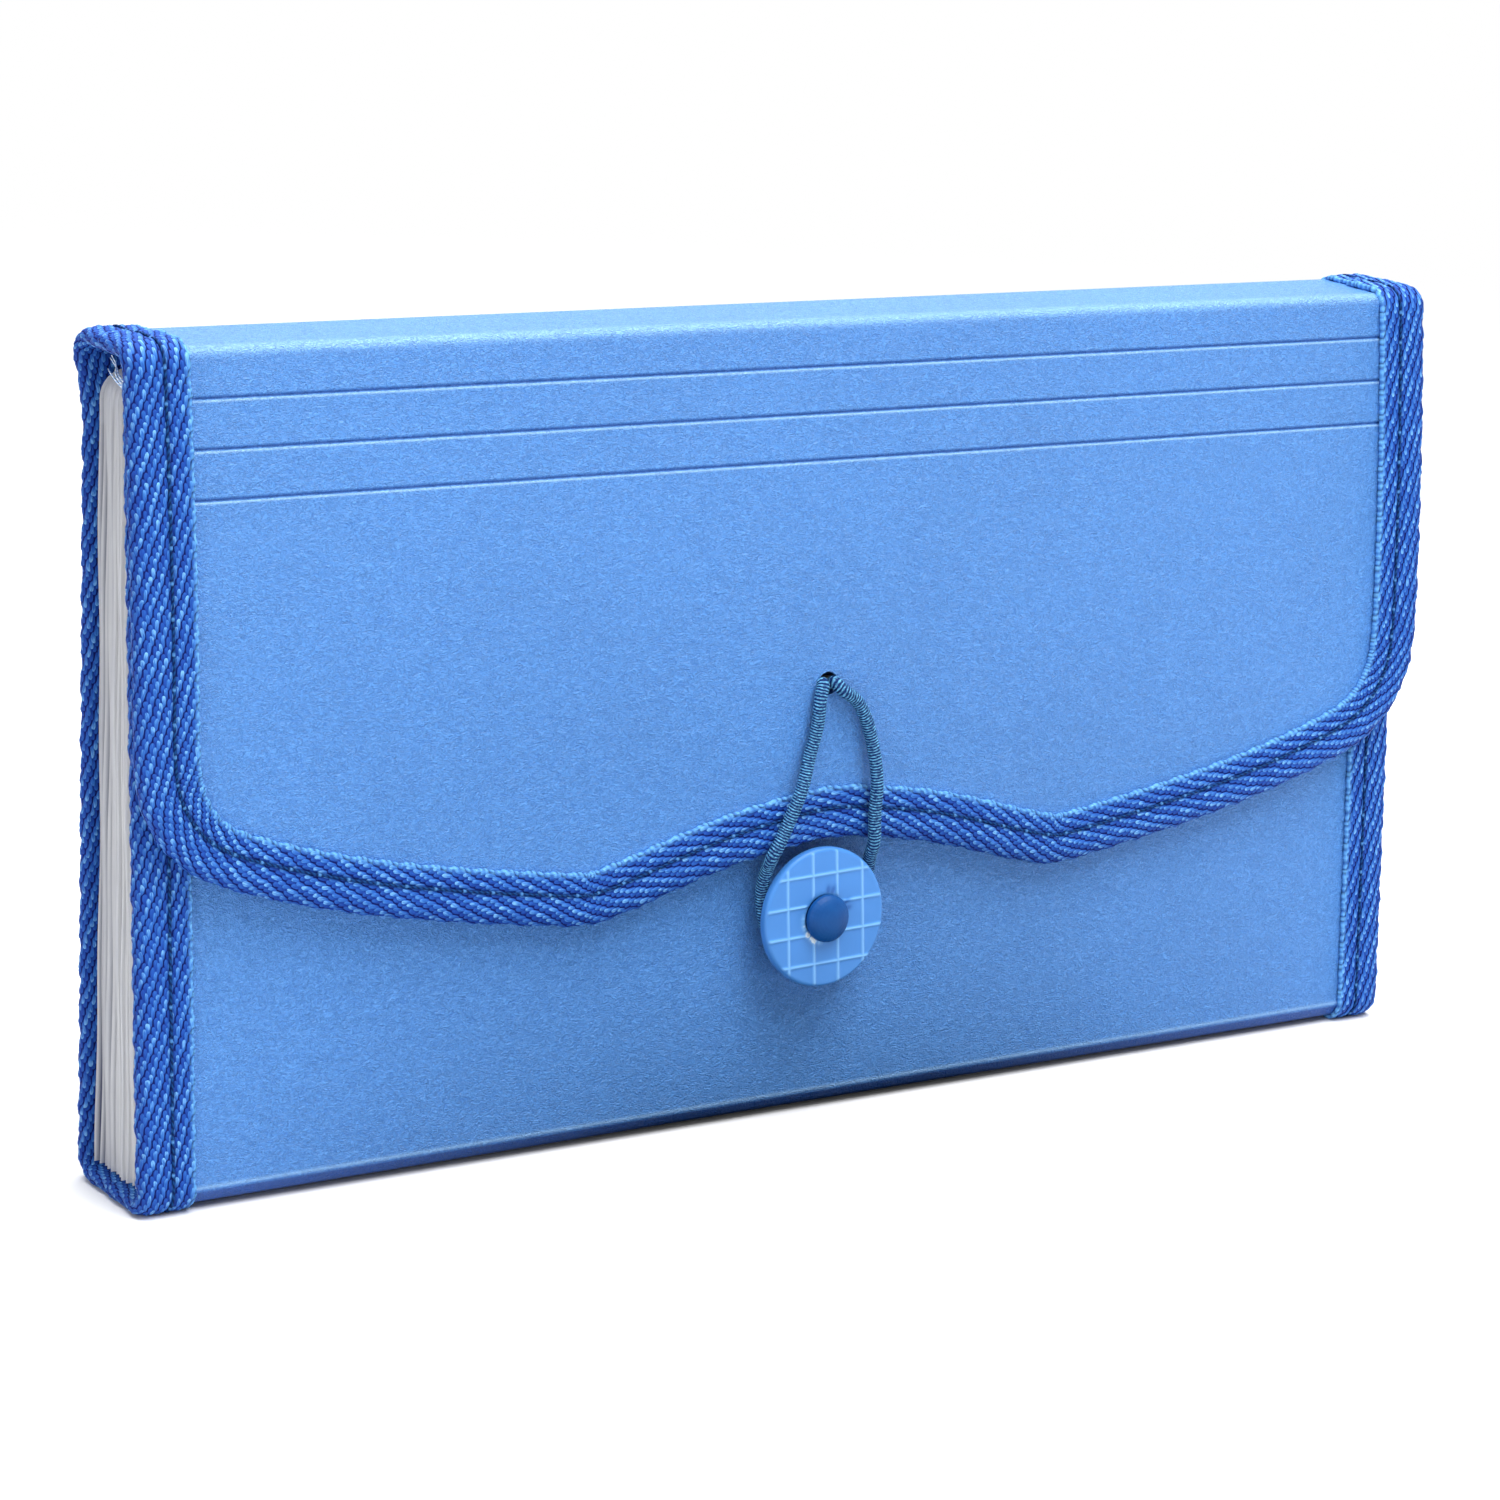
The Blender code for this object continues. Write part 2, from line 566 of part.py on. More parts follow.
def make_button(plastic, metal):
    """The disc with its boss and raised grid, the rivet that it turns on, and the washer behind the front."""
    radius = DISC_DIAMETER / 2
    profile = [
        (BORE_RADIUS, -SEAT_GAP),
        (BOSS_DIAMETER / 2, -SEAT_GAP),
        (BOSS_DIAMETER / 2, -DISC_STANDOFF),
        (radius - DISC_EDGE_ROUND, -DISC_STANDOFF),
        (radius, -DISC_STANDOFF - DISC_EDGE_ROUND),
        (radius, DISC_EDGE_ROUND - DISC_FACE),
        (radius - DISC_EDGE_ROUND, -DISC_FACE),
        (BORE_RADIUS, -DISC_FACE),
    ]
    disc = turned_ring("button_disc", profile, ROUND_STEPS)
    disc = add_object("button_disc", disc, plastic, button_place(), -LEAN, smooth=CRISP_ANGLE)
    for turn, label in ((0, "upright"), (1, "level")):
        cut(disc, grid_bars(f"grid_{label}_bars", turn, plastic), "UNION")

    shank = SHANK_DIAMETER / 2
    washer_back = SHEET + SEAT_GAP + WASHER_THICKNESS
    profile = [
        (TAIL_DIAMETER / 2, washer_back + SEAT_GAP + TAIL_HEIGHT),
        (TAIL_DIAMETER / 2, washer_back + SEAT_GAP),
        (shank, washer_back + SEAT_GAP),
        (shank, -HEAD_SEAT),
        (HEAD_DIAMETER / 2, -HEAD_SEAT),
        (HEAD_DIAMETER / 2, -HEAD_SEAT - HEAD_EDGE),
    ]
    for step in range(1, EDGE_ROUND_STEPS):
        angle = math.pi / 2 * step / EDGE_ROUND_STEPS
        height = HEAD_EDGE + HEAD_HEIGHT * math.sin(angle)
        profile.append((HEAD_DIAMETER / 2 * math.cos(angle), -HEAD_SEAT - height))
    rivet = turned_solid("button_rivet", profile, SMALL_ROUND_STEPS)
    crown_rivet(rivet)
    add_object("button_rivet", rivet, metal, button_place(), -LEAN, smooth=CRISP_ANGLE)

    profile = [
        (BORE_RADIUS, SHEET + SEAT_GAP),
        (WASHER_DIAMETER / 2, SHEET + SEAT_GAP),
        (WASHER_DIAMETER / 2, washer_back),
        (BORE_RADIUS, washer_back),
    ]
    washer = turned_ring("rivet_washer", profile, SMALL_ROUND_STEPS)
    add_object("rivet_washer", washer, metal, button_place(), -LEAN, smooth=CRISP_ANGLE)


def crown_rivet(mesh):
    """Draws the flat middle of the rivet's head out to the top of its dome."""
    work = bmesh.new()
    work.from_mesh(mesh)
    front = min(work.faces, key=lambda face: face.calc_center_median().y)
    crown = bmesh.ops.poke(work, faces=[front])["verts"][0]
    crown.co.y = -BUTTON_REACH
    work.to_mesh(mesh)
    work.free()


def grid_bars(name, turn, look):
    """The raised bars across the disc's face, upright or level, each as long as the face allows."""
    room = DISC_DIAMETER / 2 - GRID_MARGIN
    points = []
    faces = []
    for line in range(GRID_LINES):
        offset = (line - (GRID_LINES - 1) / 2) * GRID_PITCH
        reach = math.sqrt(room**2 - offset**2)
        base = len(points)
        for depth in (-DISC_FACE - GRID_HEIGHT, GRID_HEIGHT - DISC_FACE):
            for across, along in ((-1, -1), (1, -1), (1, 1), (-1, 1)):
                x = offset + across * GRID_WIDTH / 2
                z = along * reach
                points.append((z, depth, x) if turn else (x, depth, z))
        faces.append((base, base + 1, base + 2, base + 3))
        faces.append((base + 4, base + 5, base + 6, base + 7))
        for side in range(4):
            following = (side + 1) % 4
            faces.append((base + side, base + following, base + 4 + following, base + 4 + side))
    return add_object(name, mesh_of(name, points, faces), look, button_place(), -LEAN)


def loop_route():
    """The elastic loop's knots, from the cord hole down the right, round the button's boss and up the left."""
    drop = CORD_HOLE_DROP
    below_fold = MAIN_FOLD - button_place()
    button_drop = math.hypot(below_fold.y, below_fold.z)
    button_drop = math.sqrt(button_drop**2 - FLAP_STANDOFF**2) - drop
    on_flap = CORD_CLEARANCE + CORD_RADIUS
    on_binding = BINDING_REACH + on_flap
    behind_disc = DISC_STANDOFF - FLAP_STANDOFF - CORD_CLEARANCE - CORD_RADIUS
    hem = FLAP_EDGE_SHARES[1][1] * FLAP_LENGTH - drop
    strand = CORD_RADIUS + CORD_CLEARANCE / 2
    start = CORD_CLEARANCE - SHEET - BINDING_GAP
    around = BOSS_DIAMETER / 2 + CORD_CLEARANCE + CORD_RADIUS
    wide = LOOP_WIDTH_SHARE * DISC_DIAMETER / 2
    tuck = button_drop - LOOP_TUCK_SHARE * DISC_DIAMETER

    def strand_down(start_shares, flap_shares, binding_shares):
        out = [(strand, start, 0), (strand, SHEET / 2, 0)]
        out.append((start_shares[0] * strand, on_flap, start_shares[1] * hem))
        out += [(across * wide, on_flap, down * hem) for across, down in flap_shares]
        out += [(across * wide, on_binding, down * hem) for across, down in binding_shares]
        out.append((wide, on_binding, hem))
        out.append((wide, (on_binding + behind_disc) / 2, hem + CORD_DIAMETER))
        out.append((wide, behind_disc, tuck))
        out += [(across * wide, behind_disc, button_drop + down * around) for across, down in BOSS_SHARES]
        return out

    right = strand_down(STRAND_START_SHARES, RIGHT_FLAP_SHARES, RIGHT_BINDING_SHARES)
    left = strand_down(LEFT_START_SHARES, LEFT_FLAP_SHARES, LEFT_BINDING_SHARES)
    route = right + [(-x, n, d) for x, n, d in left[-2::-1]]
    slant = BUTTON_OFFSET / button_drop
    return [Vector((x + slant * d, -n, -d)) for x, n, d in route]


def make_loop(look):
    """The elastic loop: one round cord, both ends held behind the flap."""
    points = smooth_curve(loop_route(), CORD_STEPS)
    curve = bpy.data.curves.new("elastic_loop", "CURVE")
    curve.dimensions = "3D"
    curve.bevel_depth = CORD_RADIUS
    curve.bevel_resolution = 2
    curve.use_fill_caps = True
    spline = curve.splines.new("POLY")
    spline.points.add(len(points) - 1)
    for place, point in zip(spline.points, points):
        place.co = (*point, 1)
    curve.materials.append(look)
    cord = bpy.data.objects.new("elastic_loop", curve)
    cord.location = cord_hole_place()
    cord.rotation_euler = (-LEAN, 0, 0)
    bpy.context.scene.collection.objects.link(cord)


def make_bar(look):
    """The bar behind the flap that keeps the loop's ends from pulling through the hole."""
    radius = BAR_DIAMETER / 2
    depth = SHEET + BINDING_GAP + radius
    turns = [math.tau * step / EDGE_ROUND_STEPS for step in range(EDGE_ROUND_STEPS)]
    rings = []
    for along, size in BAR_SHARES:
        x = along * BAR_LENGTH / 2
        reach = radius * size
        rings.append([Vector((x, depth + reach * math.cos(a), reach * math.sin(a))) for a in turns])
    add_object("loop_bar", loft("loop_bar", rings), look, cord_hole_place(), -LEAN, smooth=SOFT_ANGLE)


def main():
    clear_scene()
    cover = material("blue_polypropylene", (0.075, 0.27, 0.74), 0.42)
    woven = material("royal_blue_binding", (0.012, 0.10, 0.52), 0.75)
    film = material("frosted_film", (0.46, 0.48, 0.58), 0.38, alpha=0.85)
    plastic = material("pale_blue_plastic", (0.13, 0.37, 0.82), 0.45)
    metal = material("steel_blue_rivet", (0.02, 0.10, 0.30), 0.32, metallic=0.6)
    elastic = material("teal_elastic", (0.10, 0.32, 0.52), 0.8)
    pale_bar = material("pale_bar", (0.75, 0.68, 0.70), 0.4)
    make_covers(cover)
    make_bindings(woven)
    make_dividers(film)
    make_gussets(film)
    make_button(plastic, metal)
    make_loop(elastic)
    make_bar(pale_bar)


main()
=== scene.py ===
import json
import math
from itertools import product

import bmesh
import bpy
import numpy as np
from mathutils import Matrix, Vector


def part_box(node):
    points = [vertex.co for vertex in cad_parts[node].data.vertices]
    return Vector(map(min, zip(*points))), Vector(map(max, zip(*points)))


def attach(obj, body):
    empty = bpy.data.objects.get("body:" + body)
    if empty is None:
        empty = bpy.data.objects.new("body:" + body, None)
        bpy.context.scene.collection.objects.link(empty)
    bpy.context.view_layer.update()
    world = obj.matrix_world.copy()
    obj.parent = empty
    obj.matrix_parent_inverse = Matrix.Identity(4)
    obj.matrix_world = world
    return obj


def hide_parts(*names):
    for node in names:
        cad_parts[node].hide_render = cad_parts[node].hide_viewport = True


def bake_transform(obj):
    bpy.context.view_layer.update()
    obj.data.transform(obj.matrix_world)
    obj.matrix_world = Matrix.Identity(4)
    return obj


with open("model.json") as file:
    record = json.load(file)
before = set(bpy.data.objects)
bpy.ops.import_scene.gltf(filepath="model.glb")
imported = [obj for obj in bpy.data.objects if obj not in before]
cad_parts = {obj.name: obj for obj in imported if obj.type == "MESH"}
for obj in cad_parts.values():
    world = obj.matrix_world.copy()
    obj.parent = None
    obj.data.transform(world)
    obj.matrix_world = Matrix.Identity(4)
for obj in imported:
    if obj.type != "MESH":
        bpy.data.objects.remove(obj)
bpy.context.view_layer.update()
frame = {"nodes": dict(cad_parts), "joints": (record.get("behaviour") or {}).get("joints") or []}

# -----------------------------------------------------------------------------
# Camera: a long lens at the height of a seated viewer, a little to the left of the holder and looking slightly down,
# so that the front, the roof and the pleated left end all show.
CAMERA_PLACE = (-0.38141, -0.56495, 0.22840)
CAMERA_YAW, CAMERA_PITCH, CAMERA_ROLL = (math.radians(turn) for turn in (33.25, 13.78, 2.58))
CAMERA_LENS = 99.08

ahead = Vector((math.sin(CAMERA_YAW) * math.cos(CAMERA_PITCH), math.cos(CAMERA_YAW) * math.cos(CAMERA_PITCH),
                -math.sin(CAMERA_PITCH)))
level = Vector((math.cos(CAMERA_YAW), -math.sin(CAMERA_YAW), 0))
upright = level.cross(ahead)
right = level * math.cos(CAMERA_ROLL) + upright * math.sin(CAMERA_ROLL)
above = upright * math.cos(CAMERA_ROLL) - level * math.sin(CAMERA_ROLL)


def placed(name, data):
    """A new object in the scene, at the origin."""
    made = bpy.data.objects.new(name, data)
    bpy.context.scene.collection.objects.link(made)
    return made


camera = placed("camera", bpy.data.cameras.new("camera"))
axes = (right, above, -ahead, Vector(CAMERA_PLACE))
camera.matrix_world = Matrix([[axis[row] for axis in axes] for row in range(3)] + [[0, 0, 0, 1]])
camera.data.lens = CAMERA_LENS
camera.data.sensor_width = 36
camera.data.clip_start = 0.01
bpy.context.scene.camera = camera
bpy.context.scene.view_settings.view_transform = "Standard"

# -----------------------------------------------------------------------------
# Studio: a white floor that fades into a white surround, a broad softbox at the upper right front, one overhead that
# brightens the roof, a weak one on the left for the pleats, and the even surround as fill. The floor is white to the
# eye, but close to the holder it throws back little light and gloss, so that the cover deepens towards its base.
FLOOR_SIZE = 6.0
FLOOR_FADE = (0.45, 1.3)
FLOOR_SEEN = "f4f5f7"
FLOOR_BOUNCE = ("101214", "e8eaee")
BOUNCE_REACH = (0.03, 0.12)
SURROUND_LEVEL = 0.40
LAMP_TARGET = Vector((0, 0, 0.06))
# Each lamp's name, place, size and power
LAMPS = (
    ("key_light", (0.20, -0.75, 1.45), 0.9, 18.5),
    ("top_light", (0.10, 0.10, 1.35), 1.3, 30.0),
    ("side_light", (-1.30, -0.50, 0.50), 0.9, 4.0),
)


def linear(colour):
    """An sRGB hex colour as linear red, green, blue and 1."""
    parts = [int(colour[place:place + 2], 16) / 255 for place in (0, 2, 4)]
    return (*[part / 12.92 if part <= 0.04045 else ((part + 0.055) / 1.055) ** 2.4 for part in parts], 1.0)


def add(tree, kind, inputs=(), **settings):
    """Adds a shader node. Inputs pairs a socket with a value, an sRGB hex colour, an output or a node."""
    made = tree.nodes.new("ShaderNode" + kind)
    for name, value in settings.items():
        setattr(made, name, value)
    for name, value in dict(inputs).items():
        if isinstance(value, bpy.types.Node):
            value = next(output for output in value.outputs if output.enabled)
        if isinstance(value, bpy.types.NodeSocket):
            tree.links.new(value, made.inputs[name])
        else:
            made.inputs[name].default_value = linear(value) if isinstance(value, str) else value
    return made


def new_material(name, surface):
    """A material with the shader that the function surface adds to its tree."""
    made = bpy.data.materials.new(name)
    made.use_nodes = True
    made.node_tree.nodes.clear()
    add(made.node_tree, "OutputMaterial", {"Surface": surface(made.node_tree)})
    return made


def seen_directly(tree, kinds):
    """1 for the kinds of ray that are named and 0 for the rest, such as light that spreads."""
    rays = add(tree, "LightPath").outputs
    seen = rays[f"Is {kinds[0]} Ray"]
    for kind in kinds[1:]:
        seen = add(tree, "Math", {0: seen, 1: rays[f"Is {kind} Ray"]}, operation="MAXIMUM")
    return seen


def studio_paper(tree):
    """Matt white paper, very slightly mottled, that fades out far from the holder."""
    place = add(tree, "TexCoord").outputs["Object"]
    distance = add(tree, "VectorMath", {0: place}, operation="LENGTH")
    fade = add(tree, "MapRange", {"Value": distance, "From Min": FLOOR_FADE[0], "From Max": FLOOR_FADE[1]},
               interpolation_type="SMOOTHSTEP")
    mottle = add(tree, "TexNoise", {"Vector": place, "Scale": 60.0, "Detail": 3.0})
    tone = add(tree, "MapRange", {"Value": mottle, "To Min": 0.99, "To Max": 1.0})
    far = add(tree, "MapRange", {"Value": distance, "From Min": BOUNCE_REACH[0], "From Max": BOUNCE_REACH[1]})
    bounce = add(tree, "Mix", {0: far, 6: FLOOR_BOUNCE[0], 7: FLOOR_BOUNCE[1]}, data_type="RGBA")
    direct = seen_directly(tree, ("Camera", "Transmission"))
    shown = add(tree, "Mix", {0: direct, 6: bounce, 7: FLOOR_SEEN}, data_type="RGBA")
    tint = add(tree, "VectorMath", {0: shown, "Scale": tone}, operation="SCALE")
    matt = add(tree, "BsdfDiffuse", {"Color": tint})
    clear = add(tree, "BsdfTransparent")
    return add(tree, "MixShader", {0: fade, 1: matt, 2: clear})


floor_mesh = bpy.data.meshes.new("floor")
work = bmesh.new()
bmesh.ops.create_grid(work, x_segments=1, y_segments=1, size=FLOOR_SIZE / 2)
work.to_mesh(floor_mesh)
work.free()
floor_mesh.materials.append(new_material("studio_paper", studio_paper))
placed("floor", floor_mesh)

surround = bpy.data.worlds.new("white_surround")
bpy.context.scene.world = surround
surround.use_nodes = True
tree = surround.node_tree
tree.nodes.clear()
direct = seen_directly(tree, ("Camera", "Glossy", "Transmission"))
strength = add(tree, "MapRange", {"Value": direct, "To Min": SURROUND_LEVEL})
white = add(tree, "Background", {"Color": (1, 1, 1, 1), "Strength": strength})
add(tree, "OutputWorld", {"Surface": white})

for name, place, size, power in LAMPS:
    light = bpy.data.lights.new(name, "AREA")
    light.shape = "SQUARE"
    light.size = size
    light.energy = power
    made = placed(name, light)
    made.location = place
    made.rotation_mode = "QUATERNION"
    made.rotation_quaternion = (LAMP_TARGET - made.location).to_track_quat("-Z", "Y")

# -----------------------------------------------------------------------------
# Cover: one sheet of embossed blue polypropylene, 0.8 mm thick, die cut, creased and folded round the pockets. The
# folds are soft radii, a slanted strip runs along the base crease, and three pressed score lines below the main fold
# let the flap bend over a full holder. It is made in three lengths, each folded over the creases it crosses.
JOINTS = {joint["name"]: joint for joint in frame["joints"]}
CREASE = Vector(JOINTS["front_opens"]["pos_m"])
BACK_FOLD = Vector(JOINTS["roof_hinge"]["pos_m"])
MAIN_FOLD = Vector(JOINTS["flap_hinge"]["pos_m"])
TURN_AXIS = Vector(JOINTS["button_turn"]["axis"])
LEAN = abs(math.atan2(TURN_AXIS.z, abs(TURN_AXIS.y)))
UP = Vector((0, math.sin(LEAN), math.cos(LEAN)))
OUT = Vector((0, -math.cos(LEAN), math.sin(LEAN)))

SHEET = 0.0008
SHEET_HALF = 0.1255
FLAP_SHEET_HALF = 0.1270
WIDENS_BELOW = 0.014
WIDENS_OVER = 0.012
CREASE_INSET = 0.0013
STRIP_BOTTOM = 0.0009
FRONT_TOP = CREASE + UP * (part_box("front_panel")[1].z - CREASE.z)
MIDDLE_BASE = Vector((0, (CREASE.y + BACK_FOLD.y) / 2, STRIP_BOTTOM))
MIDDLE_ROOF = (BACK_FOLD + MAIN_FOLD) / 2
FLAP_REACH = 0.1
FLAP_END = MAIN_FOLD - UP * FLAP_REACH
SHEET_ROUNDS = {"crease": 0.0022, "back": 0.0020, "main": 0.0017}
SHEET_STEP = 0.0003
STRAIGHT_STEP = 0.004
BEND_POINTS = 24
SAME_PLACE = 1e-8
COVER_COLUMNS = 97
FLAP_COLUMNS = 161
HEM_ROWS = 46
EDGE_STEP = 0.0005
# How strong the painted highlight along the base crease is and the painted shade on the strip under it, and where,
# in millimetres above the crease
CREASE_HIGHLIGHT = 0.55
HIGHLIGHT_AT = 0.45
HIGHLIGHT_REACH = 0.30
CREASE_SHADE = 0.85
SHADE_TOP = 0.05
SHADE_REACH = 0.45

FLAP_LENGTH = 0.0973
FLAP_BOW = 0.0018
FLAP_HALF = 0.1279
HEM_INSET = 0.0016
SCORE_PITCH = 0.0077
SCORE_COUNT = 3
SCORE_HALF = 0.00036
SCORE_DEPTH = 0.00030
SCORE_LIP = 0.00002
SCORE_STEP = 0.0001
SCORES_END = 0.003
FOLD_FINE = 0.004
# Each score has painted shade in its line, with a painted highlight just below it
SCORE_LINE = 0.0002
SCORE_HIGHLIGHT_AT = 0.00045
HOLE_DROP = 0.0607
HOLE_OFFSET = -0.0019
HOLE_RADIUS = 0.0020
HOLE_PATCH = 0.0060

# Half of the flap's bound edge, from its middle to its side: shares of half the flap's width and of its length
FLAP_EDGE_SHARES = (
    (0.000, 0.899), (0.097, 0.914), (0.162, 0.931), (0.225, 0.953), (0.290, 0.978), (0.342, 0.995), (0.370, 1.000),
    (0.400, 0.997), (0.480, 0.982), (0.590, 0.958), (0.705, 0.927), (0.822, 0.885), (0.908, 0.842), (0.952, 0.798),
    (0.980, 0.746), (0.995, 0.690), (1.000, 0.620),
)


def unit(rows):
    """Each row scaled to a length of 1."""
    return rows / np.linalg.norm(rows, axis=1)[:, None]


def distance_along(points):
    """How far along their line each of the points lies."""
    return np.r_[0, np.cumsum(np.linalg.norm(np.diff(points, axis=0), axis=1))]


def even_line(points, step):
    """The points spaced evenly along their own line, with the distance along it."""
    points = points[np.r_[True, np.diff(distance_along(points)) > SAME_PLACE]]
    along = distance_along(points)
    stops = np.linspace(0, along[-1], max(2, int(round(along[-1] / step)) + 1))
    return stops, np.column_stack([np.interp(stops, along, column) for column in points.T])


def folded(corners, rounds, step):
    """A line through (y, z) corners, each inner one rounded: distance along it, points and outward normals."""
    corners = [Vector((corner.y, corner.z)) for corner in corners]
    dense = [corners[0]]
    for index, radius in enumerate(rounds, 1):
        back = (corners[index - 1] - corners[index]).normalized()
        forth = (corners[index + 1] - corners[index]).normalized()
        turn = math.pi - back.angle(forth)
        centre = corners[index] + (back + forth).normalized() * (radius / math.cos(turn / 2))
        spoke = corners[index] + back * (radius * math.tan(turn / 2)) - centre
        hand = 1 if back.x * forth.y - back.y * forth.x < 0 else -1
        for angle in np.linspace(0, hand * turn, BEND_POINTS + 1):
            c, s = math.cos(angle), math.sin(angle)
            dense.append(centre + Vector((spoke.x * c - spoke.y * s, spoke.x * s + spoke.y * c)))
    dense.append(corners[-1])
    stops, line = even_line(np.array(dense), step)
    way = unit(np.gradient(line, axis=0))
    return stops, line, np.column_stack([way[:, 1], -way[:, 0]]) * hand


def smooth_line(knots, step):
    """An even, smooth line through knots."""
    knots = np.array(knots, float)
    ends = np.vstack([2 * knots[0] - knots[1], knots, 2 * knots[-1] - knots[-2]])
    dense = []
    for start in range(len(knots) - 1):
        p = ends[start:start + 4]
        t = np.r_[0, np.cumsum(np.sqrt(np.linalg.norm(np.diff(p, axis=0), axis=1)))]
        for x in np.linspace(t[1], t[2], BEND_POINTS, endpoint=False):
            level = list(p)
            for pairs in (((0, 1), (1, 2), (2, 3)), ((0, 2), (1, 3)), ((1, 2),)):
                level = [level[n] * (t[b] - x) / (t[b] - t[a]) + level[n + 1] * (x - t[a]) / (t[b] - t[a])
                         for n, (a, b) in enumerate(pairs)]
            dense.append(level[0])
    dense.append(knots[-1])
    return even_line(np.array(dense), step)


def gridded(*parts):
    """Stacks grids, or rows and columns that stand for them, into one grid."""
    return np.stack(np.broadcast_arrays(*parts), axis=2)


def shaped_grid(name, places, uv, values=(), closed=False):
    """A created grid moved to its places, with u and v in millimetres. A closed one is welded into a capped tube."""
    rows, columns = places.shape[:2]
    u, v = (np.broadcast_to(part, (rows, columns)) for part in uv)
    mesh = bpy.data.meshes.new(name)
    work = bmesh.new()
    bmesh.ops.create_grid(work, x_segments=columns - 1, y_segments=rows - 1, size=1)
    work.to_mesh(mesh)
    work.clear()
    mesh.vertices.foreach_set("co", places.astype(np.float32).ravel())
    corners = np.empty(len(mesh.loops), np.int32)
    mesh.loops.foreach_get("vertex_index", corners)
    layer = mesh.uv_layers.new(name="UVMap")
    layer.data.foreach_set("uv", gridded(u, v).reshape(-1, 2)[corners].astype(np.float32).ravel())
    for label, numbers in dict(values).items():
        layer = mesh.attributes.new(label, "FLOAT", "POINT")
        layer.data.foreach_set("value", np.broadcast_to(numbers, (rows, columns)).astype(np.float32).ravel())
    work.from_mesh(mesh)
    if closed:
        work.verts.ensure_lookup_table()
        seam = [work.verts[row * columns + column] for row in range(rows) for column in (0, columns - 1)]
        bmesh.ops.remove_doubles(work, verts=seam, dist=1e-6)
        bmesh.ops.holes_fill(work, edges=[edge for edge in work.edges if edge.is_boundary], sides=0)
    bmesh.ops.recalc_face_normals(work, faces=work.faces)
    return mesh, work


def finished(mesh, work, material, crisp=50):
    """Writes the shape, shades it smooth but for crisp edges, and makes the object at the origin."""
    work.to_mesh(mesh)
    work.free()
    mesh.shade_smooth()
    mesh.set_sharp_from_angle(angle=math.radians(crisp))
    mesh.materials.append(material)
    return placed(mesh.name, mesh)


# Polypropylene, extruded and rolled with a leather grain of about 0.5 mm, drawn at 0.7 mm so that it shows: shallow
# wrinkles, with a painted highlight on their backs and painted shade in their hollows. The body is a clear mid blue
# with a waxy gloss that drifts in tone over the sheet. Along the creases and score lines, painted highlight and
# painted shade stand for light on the folds: pale where a fold faces up, darker in a score's line and on the strip
# that faces down.
def embossed_polypropylene(tree):
    place = add(tree, "UVMap", uv_map="UVMap")
    crease = add(tree, "Attribute", attribute_name="crease").outputs["Fac"]
    slanted = add(tree, "Mapping", {"Vector": place, "Rotation": (0, 0, math.radians(-28)), "Scale": (0.85, 1.35, 1)})
    wrinkle = add(tree, "TexNoise", {"Vector": slanted, "Scale": 1.45, "Detail": 1.0, "Roughness": 0.5,
                                     "Distortion": 2.2})
    cloud = add(tree, "TexNoise", {"Vector": place, "Scale": 0.02, "Detail": 2.0})
    # Painted highlight on the wrinkles' backs and painted shade in their hollows
    shade = add(tree, "MapRange", {"Value": wrinkle, "From Min": 0.3, "From Max": 0.7})
    colour = add(tree, "Mix", {0: shade, 6: "3d78c2", 7: "5898e0"}, data_type="RGBA")
    # Painted highlight where crease is above 0 and painted shade where it is below 0
    for full, pressed in ((1.0, "a6d2fa"), (-1.0, "17479c")):
        share = add(tree, "MapRange", {"Value": crease, "From Max": full})
        colour = add(tree, "Mix", {0: share, 6: colour, 7: pressed}, data_type="RGBA")
    lift = add(tree, "MapRange", {"Value": cloud, "From Min": 0.35, "From Max": 0.65, "To Min": 0.97, "To Max": 1.03})
    tint = add(tree, "VectorMath", {0: colour, "Scale": lift}, operation="SCALE")
    rough = add(tree, "MapRange", {"Value": shade, "To Min": 0.46, "To Max": 0.34})
    bump = add(tree, "Bump", {"Height": wrinkle, "Strength": 1.0, "Distance": 0.00045})
    return add(tree, "BsdfPrincipled", {"Base Color": tint, "Roughness": rough, "IOR": 1.49,
                                        "Specular IOR Level": 0.5, "Normal": bump})


polypropylene = new_material("embossed_polypropylene", embossed_polypropylene)


def bends_kept(stops, line, normals):
    """Keeps every point of the bends, and elsewhere one point for each straight step."""
    turn = np.abs(np.gradient(np.unwrap(np.arctan2(normals[:, 1], normals[:, 0]))))
    keep = [0]
    for index in range(1, len(stops) - 1):
        if turn[index] > 1e-4 or stops[index] - stops[keep[-1]] > STRAIGHT_STEP:
            keep.append(index)
    keep.append(len(stops) - 1)
    return stops[keep], line[keep]


def half_width(height, narrow, wide):
    """The cover is a little wider at the roof, where it passes over the bound front."""
    share = np.clip((height - BACK_FOLD.z + WIDENS_BELOW) / WIDENS_OVER, 0, 1)
    return narrow + (wide - narrow) * share ** 2 * (3 - 2 * share)


def sheet_length(name, stops, line, half, crease):
    """One length of the cover as a folded grid. Crease is 1 where a painted highlight lies and -1 where painted shade
    lies.
    """
    x = half[:, None] * np.linspace(-1, 1, COVER_COLUMNS)
    y, z = line.T[:, :, None]
    return shaped_grid(name, gridded(x, y, z), (x * 1000, stops[:, None] * 1000), {"crease": crease[:, None]})


def bump_at(places, middle, reach):
    """1 at a middle, falling smoothly to 0 round it."""
    return np.exp(-((places - middle) / reach) ** 2)


def base_crease(line, crease_at):
    """A painted highlight along the base crease, and painted shade on the slanted strip under it, which faces down."""
    rise = (line[:, 1] - crease_at.z) * 1000
    white = CREASE_HIGHLIGHT * bump_at(rise, HIGHLIGHT_AT, HIGHLIGHT_REACH)
    return white - CREASE_SHADE * np.clip((SHADE_TOP - rise) / SHADE_REACH, 0, 1)


